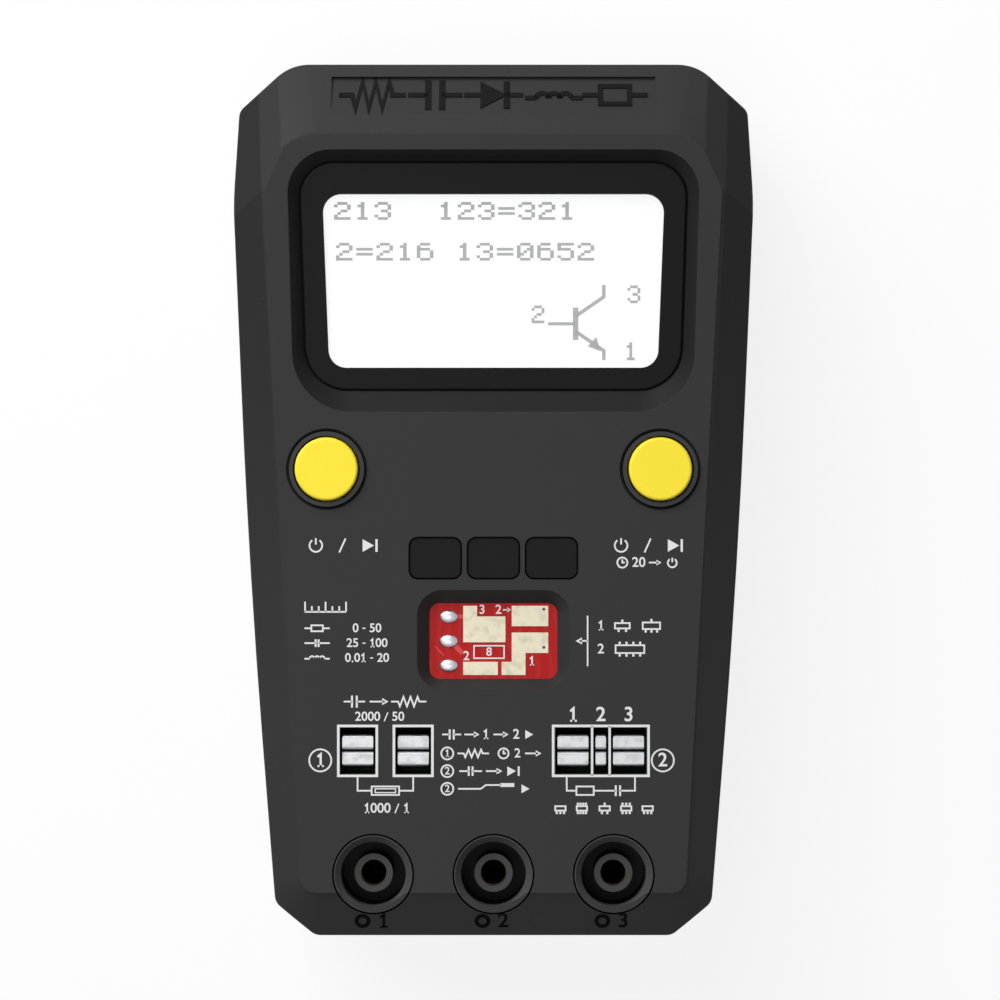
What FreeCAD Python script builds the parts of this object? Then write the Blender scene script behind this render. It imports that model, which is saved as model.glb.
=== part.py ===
"""Handheld component tester, modelled as a parametric document.

The case lies on its back: X runs across it, Y from the jacks towards the
display and Z out of the front panel.  All lengths are millimetres.
"""
import FreeCAD, Part
import math
import os
import Sketcher

V = FreeCAD.Vector

SIZES = (
    # case outline at the parting line, seen from the front
    ("body_length", 140.0),
    ("body_width", 84.0),
    ("body_depth", 38.0),
    ("parting_height", 17.0),
    ("head_inset", 9.6),
    ("head_cut", 7.5),
    ("shoulder_inset", 0.8),
    ("shoulder_drop", 22.6),
    ("waist_drop", 81.4),
    ("waist_bulge", 1.024),
    ("waist_blend", 27.4),
    ("tail_width", 70.6),
    ("tail_inset", 6.7),
    ("tail_cut", 5.6),
    ("head_edge_radius", 8.0),
    ("head_corner_radius", 2.5),
    ("shoulder_radius", 60.0),
    ("tail_radius", 3.0),
    ("front_draft", 2.0),
    ("rear_draft", 3.0),
    ("side_wall", 2.2),
    ("front_wall", 2.4),
    ("back_wall", 2.2),
    ("back_edge_radius", 2.5),
    ("reveal", 0.5),
    ("tongue_height", 1.5),
    ("tongue_gap", 0.15),
    # raised panel and the slopes around it
    ("panel_head_margin", 11.9),
    ("panel_tail_margin", 7.4),
    ("panel_head_inset", 5.0),
    ("panel_tail_inset", 4.55),
    ("panel_head_radius", 9.0),
    ("panel_tail_radius", 2.8),
    ("panel_step", 0.4),
    ("step_angle", 40.0),
    ("slope_angle", 66.0),
    ("facet_drop", 8.8),
    ("facet_heading", 23.9),
    ("facet_tilt", 41.2),
    ("edge_softening", 0.7),
    ("tablet_width", 51.6),
    ("tablet_gap", 3.1),
    ("tablet_run", 6.2),
    ("tablet_sink", 0.7),
    # display
    ("recess_head_margin", 2.7),
    ("recess_rise", 9.0),
    ("recess_inset", 4.2),
    ("recess_taper", 1.2),
    ("recess_head_radius", 6.8),
    ("recess_tail_radius", 9.5),
    ("recess_wall_run", 1.7),
    ("recess_ramp_run", 3.4),
    ("recess_depth", 2.2),
    ("bezel_head_radius", 5.6),
    ("bezel_tail_radius", 7.0),
    ("bezel_sink", 0.8),
    ("bezel_proud", 0.3),
    ("bezel_edge_radius", 0.4),
    ("fit_gap", 0.15),
    ("window_head_margin", 6.9),
    ("window_tail_margin", 7.1),
    ("window_inset", 5.6),
    ("window_taper", 1.1),
    ("window_radius", 2.9),
    ("lens_margin", 0.8),
    ("lens_thickness", 1.4),
    ("shelf_thickness", 1.8),
    ("tub_wall", 1.6),
    ("glass_margin", 2.8),
    ("glass_thickness", 1.8),
    ("backlight_thickness", 2.6),
    ("holder_rim", 2.5),
    ("pin_size", 0.5),
    ("display_pin_pitch", 2.54),
    # push buttons
    ("button_inset", 10.6),
    ("button_rise", 14.1),
    ("button_diameter", 10.0),
    ("button_proud", 1.4),
    ("button_edge_radius", 0.45),
    ("button_travel", 0.5),
    ("button_gap", 0.3),
    ("collar_wall", 0.65),
    ("collar_proud", 0.7),
    ("collar_flange", 1.0),
    ("collar_flange_thickness", 1.4),
    ("collar_skirt", 1.2),
    ("stop_gap", 0.3),
    ("stop_flange", 0.6),
    ("stop_thickness", 1.1),
    ("groove_width", 0.35),
    ("groove_depth", 0.5),
    ("switch_width", 6.2),
    ("switch_height", 3.4),
    ("plunger_diameter", 3.4),
    ("plunger_rise", 0.6),
    ("plunger_depth", 1.8),
    ("plunger_gap", 0.1),
    ("stem_diameter", 4.0),
    # three blank keys
    ("key_rise", 12.9),
    ("key_pitch", 9.2),
    ("key_width", 7.9),
    ("key_height", 6.2),
    ("key_radius", 1.2),
    ("key_gap", 0.3),
    ("key_sink", 0.4),
    ("key_plate_thickness", 1.2),
    ("key_plate_margin", 1.4),
    # pad board for surface mounted parts
    ("pad_recess_rise", 17.6),
    ("pad_recess_width", 24.2),
    ("pad_recess_height", 15.7),
    ("pad_recess_radius", 4.0),
    ("pad_window_drop", 0.3),
    ("pad_window_width", 20.3),
    ("pad_window_height", 12.0),
    ("pad_window_radius", 1.6),
    ("pad_board_margin", 1.5),
    ("pad_board_thickness", 1.6),
    ("pad_thickness", 0.12),
    ("pad_head", 5.6),
    ("pad_foot", 5.4),
    ("pad_left_reach", 4.8),
    ("pad_right_reach", 8.7),
    ("pad_lane", 2.4),
    ("pad_gap", 1.0),
    ("pad_left_depth", 5.8),
    ("pad_tab_width", 2.2),
    ("pad_tab_height", 1.7),
    ("pad_right_depth", 3.25),
    ("pad_stem_width", 2.2),
    ("pad_toe", 1.6),
    ("pad_toe_gap", 0.6),
    ("pad_foot_depth", 2.1),
    ("joint_pitch", 3.9),
    ("joint_offset", 7.1),
    ("joint_length", 3.0),
    ("joint_width", 2.1),
    ("joint_height", 0.55),
    # spring clips
    ("clip_rise", 19.6),
    ("discharge_clip_x", 17.1),
    ("discharge_clip_pitch", 8.8),
    ("test_clip_x", 17.0),
    ("test_clip_pitch", 4.4),
    ("clip_width", 4.9),
    ("narrow_clip_width", 1.65),
    ("clip_window_height", 7.4),
    ("clip_side_gap", 0.32),
    ("clip_sink", 0.7),
    ("leaf_depth", 2.4),
    ("leaf_thickness", 0.35),
    ("leaf_radius", 0.55),
    ("leaf_inner_length", 6.0),
    ("leaf_corner", 0.65),
    ("leaf_corner_depth", 0.9),
    ("slit_gap", 0.25),
    ("clip_base_height", 3.4),
    ("clip_base_floor", 0.4),
    ("clip_base_margin", 0.9),
    ("leaf_slot_gap", 0.25),
    # jacks
    ("jack_margin", 3.2),
    ("jack_pitch", 19.05),
    ("jack_diameter", 12.4),
    ("jack_gap", 0.3),
    ("jack_wall", 1.05),
    ("jack_funnel", 1.0),
    ("jack_floor", 1.4),
    ("sleeve_diameter", 6.1),
    ("sleeve_sink", 3.4),
    ("sleeve_lip", 1.2),
    ("plug_bore", 4.0),
    ("lip_clearance", 0.1),
    ("contact_wall", 0.45),
    ("contact_gap", 0.05),
    ("contact_length", 18.4),
    ("contact_flange", 1.2),
    ("contact_flange_thickness", 0.8),
    # main circuit board
    ("board_gap", 3.4),
    ("board_thickness", 1.6),
    ("panel_rise", 11.4),
    ("board_head_margin", 10.0),
    ("board_tail_margin", 3.8),
    ("board_head_inset", 10.5),
    ("board_tail_inset", 5.3),
    ("board_step", 15.6),
    ("board_tongue_margin", 0.55),
    ("board_screw_inset", 16.0),
    ("board_screw_margin", 12.8),
    ("board_screw_tail_inset", 7.3),
    ("board_screw_tail_rise", 1.2),
    ("board_boss_diameter", 5.2),
    ("board_screw_diameter", 2.2),
    ("board_screw_length", 6.0),
    ("board_screw_head", 4.0),
    ("board_screw_head_height", 1.6),
    ("screw_clearance", 0.2),
    ("pilot_clearance", 0.02),
    ("chip_width", 10.0),
    ("chip_thickness", 1.4),
    ("chip_drop", 1.8),
    ("chip_lead_length", 1.0),
    ("crystal_length", 10.5),
    ("crystal_width", 4.6),
    ("crystal_height", 3.5),
    ("regulator_width", 4.5),
    ("regulator_depth", 2.5),
    ("regulator_height", 1.5),
    ("capacitor_diameter", 5.0),
    ("capacitor_height", 5.4),
    ("passive_length", 2.0),
    ("passive_width", 1.25),
    ("passive_height", 0.6),
    ("resistor_drop", 8.5),
    ("resistor_diameter", 4.2),
    ("resistor_length", 9.0),
    ("resistor_span", 13.0),
    ("resistor_wire", 0.8),
    # case screws
    ("head_screw_inset", 6.5),
    ("head_screw_margin", 20.0),
    ("tail_screw_inset", 6.6),
    ("tail_screw_margin", 20.0),
    ("boss_gap", 0.4),
    ("case_boss_diameter", 6.4),
    ("well_diameter", 8.4),
    ("well_bore", 6.0),
    ("well_depth", 9.0),
    ("case_screw_diameter", 2.9),
    ("case_screw_length", 16.0),
    ("case_screw_head", 5.4),
    ("case_screw_head_height", 2.0),
    # battery, its bay and cover
    ("bay_row", 8.0),
    ("bay_length", 56.0),
    ("bay_width", 27.4),
    ("bay_wall", 1.4),
    ("bay_roof_thickness", 1.2),
    ("ledge_width", 3.3),
    ("ledge_end", 6.3),
    ("ledge_thickness", 2.2),
    ("ledge_frame", 1.6),
    ("cover_thickness", 2.0),
    ("cover_recess", 0.25),
    ("cover_radius", 3.0),
    ("cover_gap", 0.25),
    ("grip_pitch", 3.0),
    ("grip_width", 1.2),
    ("grip_length", 17.0),
    ("grip_depth", 0.6),
    ("cover_screw_inset", 3.4),
    ("cover_screw_diameter", 2.0),
    ("cover_screw_length", 6.0),
    ("cover_screw_head", 4.2),
    ("cover_screw_head_height", 1.0),
    ("cover_boss_diameter", 5.2),
    ("cover_boss_height", 9.0),
    ("battery_length", 46.4),
    ("battery_width", 26.2),
    ("battery_clearance", 0.25),
    ("battery_radius", 2.4),
    ("battery_start", 27.6),
    ("foam_thickness", 0.9),
    ("foam_length", 30.0),
    ("stud_diameter", 5.8),
    ("socket_diameter", 8.2),
    ("terminal_height", 2.1),
    ("terminal_pitch", 12.7),
    ("snap_width", 12.4),
    ("snap_length", 25.0),
    ("snap_thickness", 4.4),
    ("snap_gap", 0.1),
    ("lead_diameter", 1.3),
    ("lead_bend", 1.7),
    ("lead_exit", 0.4),
    ("lead_offset", 3.0),
    ("lead_hole", 2.4),
)

doc = FreeCAD.newDocument("component_tester")
sheet = doc.addObject("Spreadsheet::Sheet", "Sizes")


class Dim:
    """A length that knows its number and the sheet expression behind it."""

    def __init__(self, value, text):
        self.value = value
        self.text = text

    def _join(self, sign, other, value):
        return Dim(value, "(%s %s %s)" % (self.text, sign, other.text))

    def __add__(self, other):
        other = dim(other)
        return self._join("+", other, self.value + other.value)

    def __radd__(self, other):
        return dim(other) + self

    def __sub__(self, other):
        other = dim(other)
        return self._join("-", other, self.value - other.value)

    def __rsub__(self, other):
        return dim(other) - self

    def __mul__(self, other):
        other = dim(other)
        return self._join("*", other, self.value * other.value)

    def __rmul__(self, other):
        return dim(other) * self

    def __truediv__(self, other):
        other = dim(other)
        return self._join("/", other, self.value / other.value)

    def __neg__(self):
        return Dim(-self.value, "(0 - %s)" % self.text)


class Blend(Dim):
    """A rounded corner given by the length that it takes from the run on each side."""

    def __init__(self, length):
        super().__init__(length.value, length.text)


def dim(number):
    """Wrap a plain number so that it can stand beside sheet sizes."""
    if isinstance(number, Dim):
        return number
    return Dim(float(number), repr(float(number)))


class Names:
    """The sheet's sizes by name."""


s = Names()
for row, (alias, number) in enumerate(SIZES, 1):
    sheet.set("A%d" % row, alias)
    sheet.set("B%d" % row, str(number))
    sheet.setAlias("B%d" % row, alias)
    setattr(s, alias, Dim(number, "Sizes.%s" % alias))
doc.recompute()


def bind(thing, name, length):
    """Tie one property to the sheet."""
    thing.setExpression(name, dim(length).text)


def move(thing, x, y, z):
    """Tie an object's place to the sheet."""
    for axis, length in zip("xyz", (x, y, z)):
        bind(thing, "Placement.Base.%s" % axis, length)
    return thing


def block(name, cx, cy, z, length, width, height):
    """A box centred on (cx, cy) that stands on z."""
    box = doc.addObject("Part::Box", name)
    bind(box, "Length", length)
    bind(box, "Width", width)
    bind(box, "Height", height)
    return move(box, cx - dim(length) / 2, cy - dim(width) / 2, z)


def rod(name, cx, cy, z, diameter, height):
    """An upright cylinder that stands on z."""
    cylinder = doc.addObject("Part::Cylinder", name)
    bind(cylinder, "Radius", dim(diameter) / 2)
    bind(cylinder, "Height", height)
    return move(cylinder, cx, cy, z)


def lying_rod(name, x, cy, z, diameter, length):
    """A cylinder along X that starts at x."""
    cylinder = doc.addObject("Part::Cylinder", name)
    bind(cylinder, "Radius", dim(diameter) / 2)
    bind(cylinder, "Height", length)
    cylinder.Placement = FreeCAD.Placement(V(), FreeCAD.Rotation(V(0, 1, 0), 90))
    return move(cylinder, x, cy, z)


def dome(name, cx, cy, z, length, width, height):
    """An oval drop with a flat foot on z."""
    drop = doc.addObject("Part::Ellipsoid", name)
    drop.Angle1 = 0
    bind(drop, "Radius1", height)
    bind(drop, "Radius2", length / 2)
    bind(drop, "Radius3", width / 2)
    return move(drop, cx, cy, z)


def fuse(name, pieces):
    """Join several pieces into one."""
    union = doc.addObject("Part::MultiFuse", name)
    union.Shapes = pieces
    return union


def cut(name, base, tools):
    """Take the tools away from the base."""
    tool = tools[0] if len(tools) == 1 else fuse(name + "_tools", tools)
    result = doc.addObject("Part::Cut", name)
    result.Base = base
    result.Tool = tool
    return result


def common(name, first, second):
    """Keep what two pieces share."""
    result = doc.addObject("Part::Common", name)
    result.Base = first
    result.Tool = second
    return result


def group(name, pieces):
    """Gather like pieces in one node."""
    compound = doc.addObject("Part::Compound", name)
    compound.Links = pieces
    return compound


def plane_of(body, role):
    """One of a body's own origin planes."""
    return [item for item in body.Origin.OriginFeatures if item.Role == role][0]


def sketch_on(body, name, role, offset):
    """An empty sketch on one of the body's planes, moved along its normal."""
    sketch = body.newObject("Sketcher::SketchObject", name)
    sketch.AttachmentSupport = [(plane_of(body, role), "")]
    sketch.MapMode = "FlatFace"
    bind(sketch, "AttachmentOffset.Base.z", offset)
    return sketch


def pin(sketch, geometry, vertex, x, y):
    """Fix one point of a sketch to the sheet."""
    for kind, length in (("DistanceX", x), ("DistanceY", y)):
        length = dim(length)
        index = sketch.addConstraint(
            Sketcher.Constraint(kind, -1, 1, geometry, vertex, length.value))
        bind(sketch, "Constraints[%d]" % index, length)


def draw(sketch, corners):
    """Draw a closed outline through corners (x, y) or (x, y, radius or blend).

    A rounded corner keeps its sharp point as construction and gets an arc
    that is tangent to the two straight runs beside it.
    """
    count = len(corners)
    points = [V(dim(corner[0]).value, dim(corner[1]).value, 0) for corner in corners]
    rounds = [dim(corner[2]) if len(corner) > 2 else None for corner in corners]
    ends, starts = [], []
    for i, point in enumerate(points):
        back = (points[i - 1] - point).normalize()
        ahead = (points[(i + 1) % count] - point).normalize()
        trim = rounds[i].value if rounds[i] else 0.0
        if not isinstance(rounds[i], Blend):
            trim /= math.tan(back.getAngle(ahead) / 2)
        ends.append(point + back * trim)
        starts.append(point + ahead * trim)
    lines = [sketch.addGeometry(Part.LineSegment(starts[i], ends[(i + 1) % count]), False)
             for i in range(count)]
    for i, corner in enumerate(corners):
        before, after = lines[i - 1], lines[i]
        if rounds[i] is None:
            sketch.addConstraint(Sketcher.Constraint("Coincident", before, 2, after, 1))
            pin(sketch, after, 1, corner[0], corner[1])
            continue
        round_corner(sketch, before, after, points[i], (ends[i], starts[i]), corner)


def round_corner(sketch, before, after, point, touch, corner):
    """Lay a tangent arc between two runs that meet at a pinned point."""
    size = dim(corner[2])
    trim = (touch[0] - point).Length
    radius = trim * math.tan((touch[0] - point).getAngle(touch[1] - point) / 2)
    middle = (touch[0] + touch[1]) * 0.5 - point
    centre = point + middle.normalize() * math.hypot(trim, radius)
    angles = [math.atan2(p.y - centre.y, p.x - centre.x) for p in touch]
    sweep = (angles[1] - angles[0]) % (2 * math.pi)
    first, last = (angles[0], angles[0] + sweep)
    forward = sweep < math.pi
    if not forward:
        first, last = angles[1], angles[1] + 2 * math.pi - sweep
    circle = Part.Circle(centre, V(0, 0, 1), radius)
    arc = sketch.addGeometry(Part.ArcOfCircle(circle, first, last), False)
    mark = sketch.addGeometry(Part.Point(point), True)
    pin(sketch, mark, 1, corner[0], corner[1])
    for line in (before, after):
        sketch.addConstraint(Sketcher.Constraint("PointOnObject", mark, 1, line))
    near, far = (1, 2) if forward else (2, 1)
    sketch.addConstraint(Sketcher.Constraint("Tangent", before, 2, arc, near))
    sketch.addConstraint(Sketcher.Constraint("Tangent", after, 1, arc, far))
    if isinstance(size, Blend):
        rounding = Sketcher.Constraint("Distance", mark, 1, arc, near, size.value)
    else:
        rounding = Sketcher.Constraint("Radius", arc, size.value)
    bind(sketch, "Constraints[%d]" % sketch.addConstraint(rounding), size)


def new_body(name):
    """An empty body."""
    return doc.addObject("PartDesign::Body", name)


def add_pad(body, sketch, name, height, taper=None, down=False):
    """Raise a sketch into a solid, with an optional draft."""
    pad = body.newObject("PartDesign::Pad", name)
    pad.Profile = sketch
    bind(pad, "Length", height)
    pad.Reversed = down
    if taper is not None:
        bind(pad, "TaperAngle", taper)
    return pad


def plate(name, corners, z, height):
    """A flat piece with the given outline."""
    body = new_body(name)
    sketch = sketch_on(body, name + "_outline", "XY_Plane", z)
    draw(sketch, corners)
    add_pad(body, sketch, name + "_pad", height)
    return body


def rectangle(cx, cy, width, height, radius=None):
    """Corners of a rectangle, rounded when a radius is given."""
    cx, cy = dim(cx), dim(cy)
    signs = ((-1, -1), (1, -1), (1, 1), (-1, 1))
    rest = () if radius is None else (radius,)
    return [(cx + width * (0.5 * i), cy + height * (0.5 * j)) + rest for i, j in signs]


def trapezium(head, tail, head_width, tail_width, head_radius, tail_radius):
    """Corners of an upright shape whose head and tail differ in width."""
    return [(head_width * -0.5, head, head_radius), (tail_width * -0.5, tail, tail_radius),
            (tail_width * 0.5, tail, tail_radius), (head_width * 0.5, head, head_radius)]


def lofted(name, low_corners, low_z, high_corners, high_z):
    """A solid with straight walls between two outlines."""
    body = new_body(name)
    low = sketch_on(body, name + "_low", "XY_Plane", low_z)
    draw(low, low_corners)
    high = sketch_on(body, name + "_high", "XY_Plane", high_z)
    draw(high, high_corners)
    doc.recompute()
    loft = body.newObject("PartDesign::AdditiveLoft", name + "_loft")
    loft.Profile = low
    loft.Sections = [high]
    loft.Ruled = True
    return body


def turned(name, cx, cy, profile):
    """A piece turned about an upright axis, from (radius, z) corners."""
    body = new_body(name)
    sketch = sketch_on(body, name + "_profile", "XZ_Plane", 0)
    draw(sketch, profile)
    revolution = body.newObject("PartDesign::Revolution", name + "_turn")
    revolution.Profile = sketch
    revolution.ReferenceAxis = (sketch, ["V_Axis"])
    revolution.Angle = 360
    return move(body, cx, cy, 0)


def screw(name, cx, cy, seat, head, head_height, shank, length):
    """A cross slotted screw driven upwards, with its head below the seat."""
    radius, core = head / 2, shank / 2
    blank = turned(name + "_blank", cx, cy, [
        (0, seat - head_height), (radius, seat - head_height), (radius, seat),
        (core, seat), (core, seat + length), (0, seat + length)])
    slots = [block(name + "_slot_%d" % i, cx, cy, seat - head_height, length_x, length_y,
                   head_height * 0.5)
             for i, (length_x, length_y) in enumerate(
                 ((head * 0.6, head * 0.14), (head * 0.14, head * 0.6)))]
    return cut(name, blank, slots)


# levels that several pieces share, from the panel down to the battery cover
panel_z = s.body_depth
board_top = panel_z - s.panel_rise
board_z = board_top - s.board_thickness
bay_roof = board_z - s.board_gap - s.bay_roof_thickness
cover_top = s.cover_recess + s.cover_thickness
battery_z = cover_top + s.battery_clearance
battery_thickness = bay_roof - s.foam_thickness - battery_z
ceiling = panel_z - s.front_wall
recess_z = panel_z - s.recess_depth
shelf_z = recess_z - s.bezel_sink
tub_z = shelf_z - s.shelf_thickness
glass_z = tub_z - s.glass_thickness
backlight_z = glass_z - s.backlight_thickness
bay_y = -s.bay_row

# rows up the panel from the jacks; the display takes what is left of the length
head_y = s.body_length / 2
panel_tail = s.panel_tail_margin - head_y
jack_y = panel_tail + s.jack_margin
clip_y = jack_y + s.clip_rise
pad_recess_y = clip_y + s.pad_recess_rise
pad_y = pad_recess_y - s.pad_window_drop
key_y = pad_recess_y + s.key_rise
button_y = key_y + s.button_rise
recess_tail = button_y + s.recess_rise
window_tail = recess_tail + s.window_tail_margin
panel_head = head_y - s.panel_head_margin
recess_head = panel_head - s.recess_head_margin
window_head = recess_head - s.window_head_margin
recess_length = recess_head - recess_tail
window_length = window_head - window_tail
window_row = (window_head + window_tail) / 2

# widths, from the sides of the case in to the display window
half_width = s.body_width / 2
tail_x = s.tail_width / 2
panel_head_width = s.body_width - s.panel_head_inset * 2
recess_head_width = panel_head_width - s.recess_inset * 2
recess_tail_width = recess_head_width - s.recess_taper * 2
window_width = recess_head_width - s.window_inset * 2
window_tail_width = window_width - s.window_taper * 2
panel_tail_width = (tail_x - s.panel_tail_inset) * 2
button_x = panel_head_width / 2 - s.button_inset


def case_outline():
    """The case seen from the front, at the parting line."""
    share = (s.waist_drop - s.shoulder_drop) / (s.body_length - s.shoulder_drop - s.tail_cut)
    waist_x = half_width - (half_width - tail_x) * share + s.waist_bulge
    right = [
        (half_width - s.head_inset, head_y, s.head_edge_radius),
        (half_width - s.shoulder_inset, head_y - s.head_cut, s.head_corner_radius),
        (half_width, head_y - s.shoulder_drop, s.shoulder_radius),
        (waist_x, head_y - s.waist_drop, Blend(s.waist_blend)),
        (tail_x, s.tail_cut - head_y, s.tail_radius),
        (tail_x - s.tail_inset, -head_y, s.tail_radius)]
    left = [(-x, y, radius) for x, y, radius in reversed(right)]
    return right + left


def panel_outline():
    """The raised panel of the front."""
    return trapezium(panel_head, panel_tail, panel_head_width, panel_tail_width,
                     s.panel_head_radius, s.panel_tail_radius)


front_block = new_body("front_block")
case_sketch = sketch_on(front_block, "case_outline", "XY_Plane", s.parting_height)
draw(case_sketch, case_outline())
add_pad(front_block, case_sketch, "front_block_pad", panel_z - s.parting_height + 2,
        -s.front_draft)
rear_block = new_body("rear_block")
rear_sketch = sketch_on(rear_block, "rear_outline", "XY_Plane", s.parting_height)
draw(rear_sketch, case_outline())
rear_pad = add_pad(rear_block, rear_sketch, "rear_block_pad", s.parting_height,
                   -s.rear_draft, down=True)
doc.recompute()
back_edges = ["Edge%d" % i for i, edge in enumerate(rear_pad.Shape.Edges, 1)
              if edge.BoundBox.ZMax < 0.01]
back_fillet = rear_block.newObject("PartDesign::Fillet", "back_fillet")
back_fillet.Base = (rear_pad, back_edges)
bind(back_fillet, "Radius", s.back_edge_radius)


def inset_block(name, inset, up, down=None, up_taper=None, down_taper=None):
    """The case outline drawn in by an inset and raised from the parting line."""
    inner = doc.addObject("Part::Offset2D", name + "_outline")
    inner.Source = case_sketch
    inner.Join = 2
    bind(inner, "Value", -inset)
    solid = doc.addObject("Part::Extrusion", name)
    solid.Base = inner
    solid.DirMode = "Custom"
    solid.Dir = V(0, 0, 1)
    solid.Solid = True
    bind(solid, "LengthFwd", up)
    if down is not None:
        bind(solid, "LengthRev", down)
    if up_taper is not None:
        bind(solid, "TaperAngle", up_taper)
    if down_taper is not None:
        bind(solid, "TaperAngleRev", down_taper)
    return solid


def panel_form(name, drop):
    """The panel with its slopes, lowered by a drop."""
    body = new_body(name)
    foot = panel_z - s.panel_step - drop
    sketch = sketch_on(body, name + "_outline", "XY_Plane", foot)
    draw(sketch, panel_outline())
    add_pad(body, sketch, name + "_top", s.panel_step)
    doc.recompute()
    add_pad(body, sketch, name + "_slopes", foot - s.parting_height + 1, s.slope_angle,
            down=True)
    return body


def facet(name, side, drop):
    """What lies outside a flat head corner facet."""
    share = s.facet_drop / (panel_head - panel_tail)
    crease = (panel_head_width - (panel_head_width - panel_tail_width) * share) / 2
    fall = Dim(math.tan(math.radians(s.facet_tilt.value)), "tan(Sizes.facet_tilt * 1 deg)")
    body = new_body(name)
    sketch = sketch_on(body, name + "_wedge", "XZ_Plane", -half_width)
    draw(sketch, [(half_width * -0.5, half_width * fall * 0.5),
                  (half_width, half_width * fall * -1), (half_width, half_width * fall * 0.5)])
    add_pad(body, sketch, name + "_pad", half_width * 2)
    turn = s.facet_heading if side > 0 else 180 - s.facet_heading
    body.Placement = FreeCAD.Placement(V(), FreeCAD.Rotation(V(0, 0, 1), turn.value))
    bind(body, "Placement.Rotation.Angle", turn)
    return move(body, crease * side, panel_head - s.facet_drop, panel_z - s.panel_step - drop)


def front_form(name, block_piece, drop):
    """The front of the case as a solid, or its hollow when lowered."""
    form = panel_form(name + "_panel", drop)
    facets = [facet(name + "_facet_%d" % i, side, drop) for i, side in enumerate((-1, 1))]
    return cut(name, common(name + "_body", block_piece, form), facets)


def is_wall(face):
    """Whether a face stands nearly upright."""
    low_u, high_u, low_v, high_v = face.ParameterRange
    return abs(face.normalAt((low_u + high_u) / 2, (low_v + high_v) / 2).z) < 0.2


def is_sharp(edge, faces):
    """Whether two faces meet at an angle along an edge."""
    point = edge.valueAt((edge.FirstParameter + edge.LastParameter) / 2)
    first, second = [face.normalAt(*face.Surface.parameter(point)) for face in faces]
    return first.getAngle(second) > 0.05


def crest_edges(shape, low, high):
    """The rim of the slopes and the ridges of the facets, between two levels."""
    found = []
    for i, edge in enumerate(shape.Edges, 1):
        if edge.BoundBox.ZMin < low or edge.BoundBox.ZMin > high:
            continue
        if edge.BoundBox.ZMax > high + 0.1:
            continue
        faces = [face for face in shape.Faces if any(edge.isSame(e) for e in face.Edges)]
        walls = [is_wall(face) for face in faces].count(True)
        if walls == 1 or (walls == 0 and is_sharp(edge, faces)):
            found.append(i)
    return found


front_sharp = front_form("front_sharp", front_block, dim(0))
doc.recompute()
slope_top = panel_z - s.panel_step
front_soft = doc.addObject("Part::Fillet", "front_soft")
front_soft.Base = front_sharp
front_soft.Edges = [(i, s.edge_softening.value, s.edge_softening.value)
                    for i in crest_edges(front_sharp.Shape, s.parting_height.value + 0.5,
                                         slope_top.value - 0.05)]
raised = new_body("raised_panel")
raised_sketch = sketch_on(raised, "raised_outline", "XY_Plane", slope_top)
draw(raised_sketch, panel_outline())
add_pad(raised, raised_sketch, "raised_pad", s.panel_step * 2, -s.step_angle)
front_solid = cut("front_solid", front_soft, [
    cut("step_cutter", block("step_slab", dim(0), dim(0), slope_top, s.body_width * 1.2,
                             s.body_length * 1.2, s.panel_step * 1.5), [raised])])
front_inset = inset_block("front_inset", s.side_wall, panel_z - s.parting_height,
                          up_taper=-s.front_draft)
front_hollow = front_form("front_hollow", front_inset, s.front_wall)


def recess_outline(run_in, ramp_in, head_radius, tail_radius):
    """The display recess, drawn in towards its floor."""
    return trapezium(recess_head - run_in, recess_tail + ramp_in,
                     recess_head_width - run_in * 2, recess_tail_width - run_in * 2,
                     head_radius, tail_radius)


def bezel_outline(gap):
    """The display bezel, drawn in by a gap."""
    return recess_outline(s.recess_wall_run + gap, s.recess_ramp_run + gap,
                          s.bezel_head_radius - gap, s.bezel_tail_radius - gap)


window_outline = trapezium(window_head, window_tail, window_width, window_tail_width,
                           s.window_radius, s.window_radius)


def display_slab(name, margin, z, thickness):
    """A plain rectangle behind the display window."""
    return block(name, dim(0), window_row, z, window_width + margin * 2,
                 window_length + margin * 2, thickness)


# display: bezel, lens, glass, backlight, holder and pins
bezel = new_body("display_bezel_frame")
bezel_sketch = sketch_on(bezel, "bezel_outline", "XY_Plane", shelf_z)
draw(bezel_sketch, bezel_outline(s.fit_gap))
bezel_pad = add_pad(bezel, bezel_sketch, "bezel_pad", s.bezel_sink + s.bezel_proud)
doc.recompute()
bezel_top = shelf_z + s.bezel_sink + s.bezel_proud
bezel_edges = ["Edge%d" % i for i, edge in enumerate(bezel_pad.Shape.Edges, 1)
               if edge.BoundBox.ZMin > bezel_top.value - 0.01]
bezel_fillet = bezel.newObject("PartDesign::Fillet", "bezel_fillet")
bezel_fillet.Base = (bezel_pad, bezel_edges)
bind(bezel_fillet, "Radius", s.bezel_edge_radius)
bezel_window = plate("bezel_window", window_outline, shelf_z - 1, s.bezel_sink + s.bezel_proud + 2)
display_bezel = cut("display_bezel", bezel, [bezel_window])
display_lens = display_slab("display_lens", s.lens_margin, shelf_z - s.lens_thickness,
                            s.lens_thickness)
lcd_glass = display_slab("lcd_glass", s.glass_margin, glass_z, s.glass_thickness)
lcd_backlight = display_slab("lcd_backlight", s.glass_margin, backlight_z,
                             s.backlight_thickness)
holder_height = backlight_z - board_top
lcd_holder = cut(
    "lcd_holder", display_slab("holder_block", s.glass_margin, board_top, holder_height),
    [display_slab("holder_opening", s.glass_margin - s.holder_rim, board_top - 1,
                  holder_height + 2)])
pin_y = window_head + s.glass_margin + s.pin_size / 2
lcd_pins = group("lcd_pins", [
    block("lcd_pin_%d" % i, s.display_pin_pitch * (i - 3.5), pin_y, board_top, s.pin_size,
          s.pin_size, glass_z + s.glass_thickness / 2 - board_top) for i in range(8)])

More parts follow.
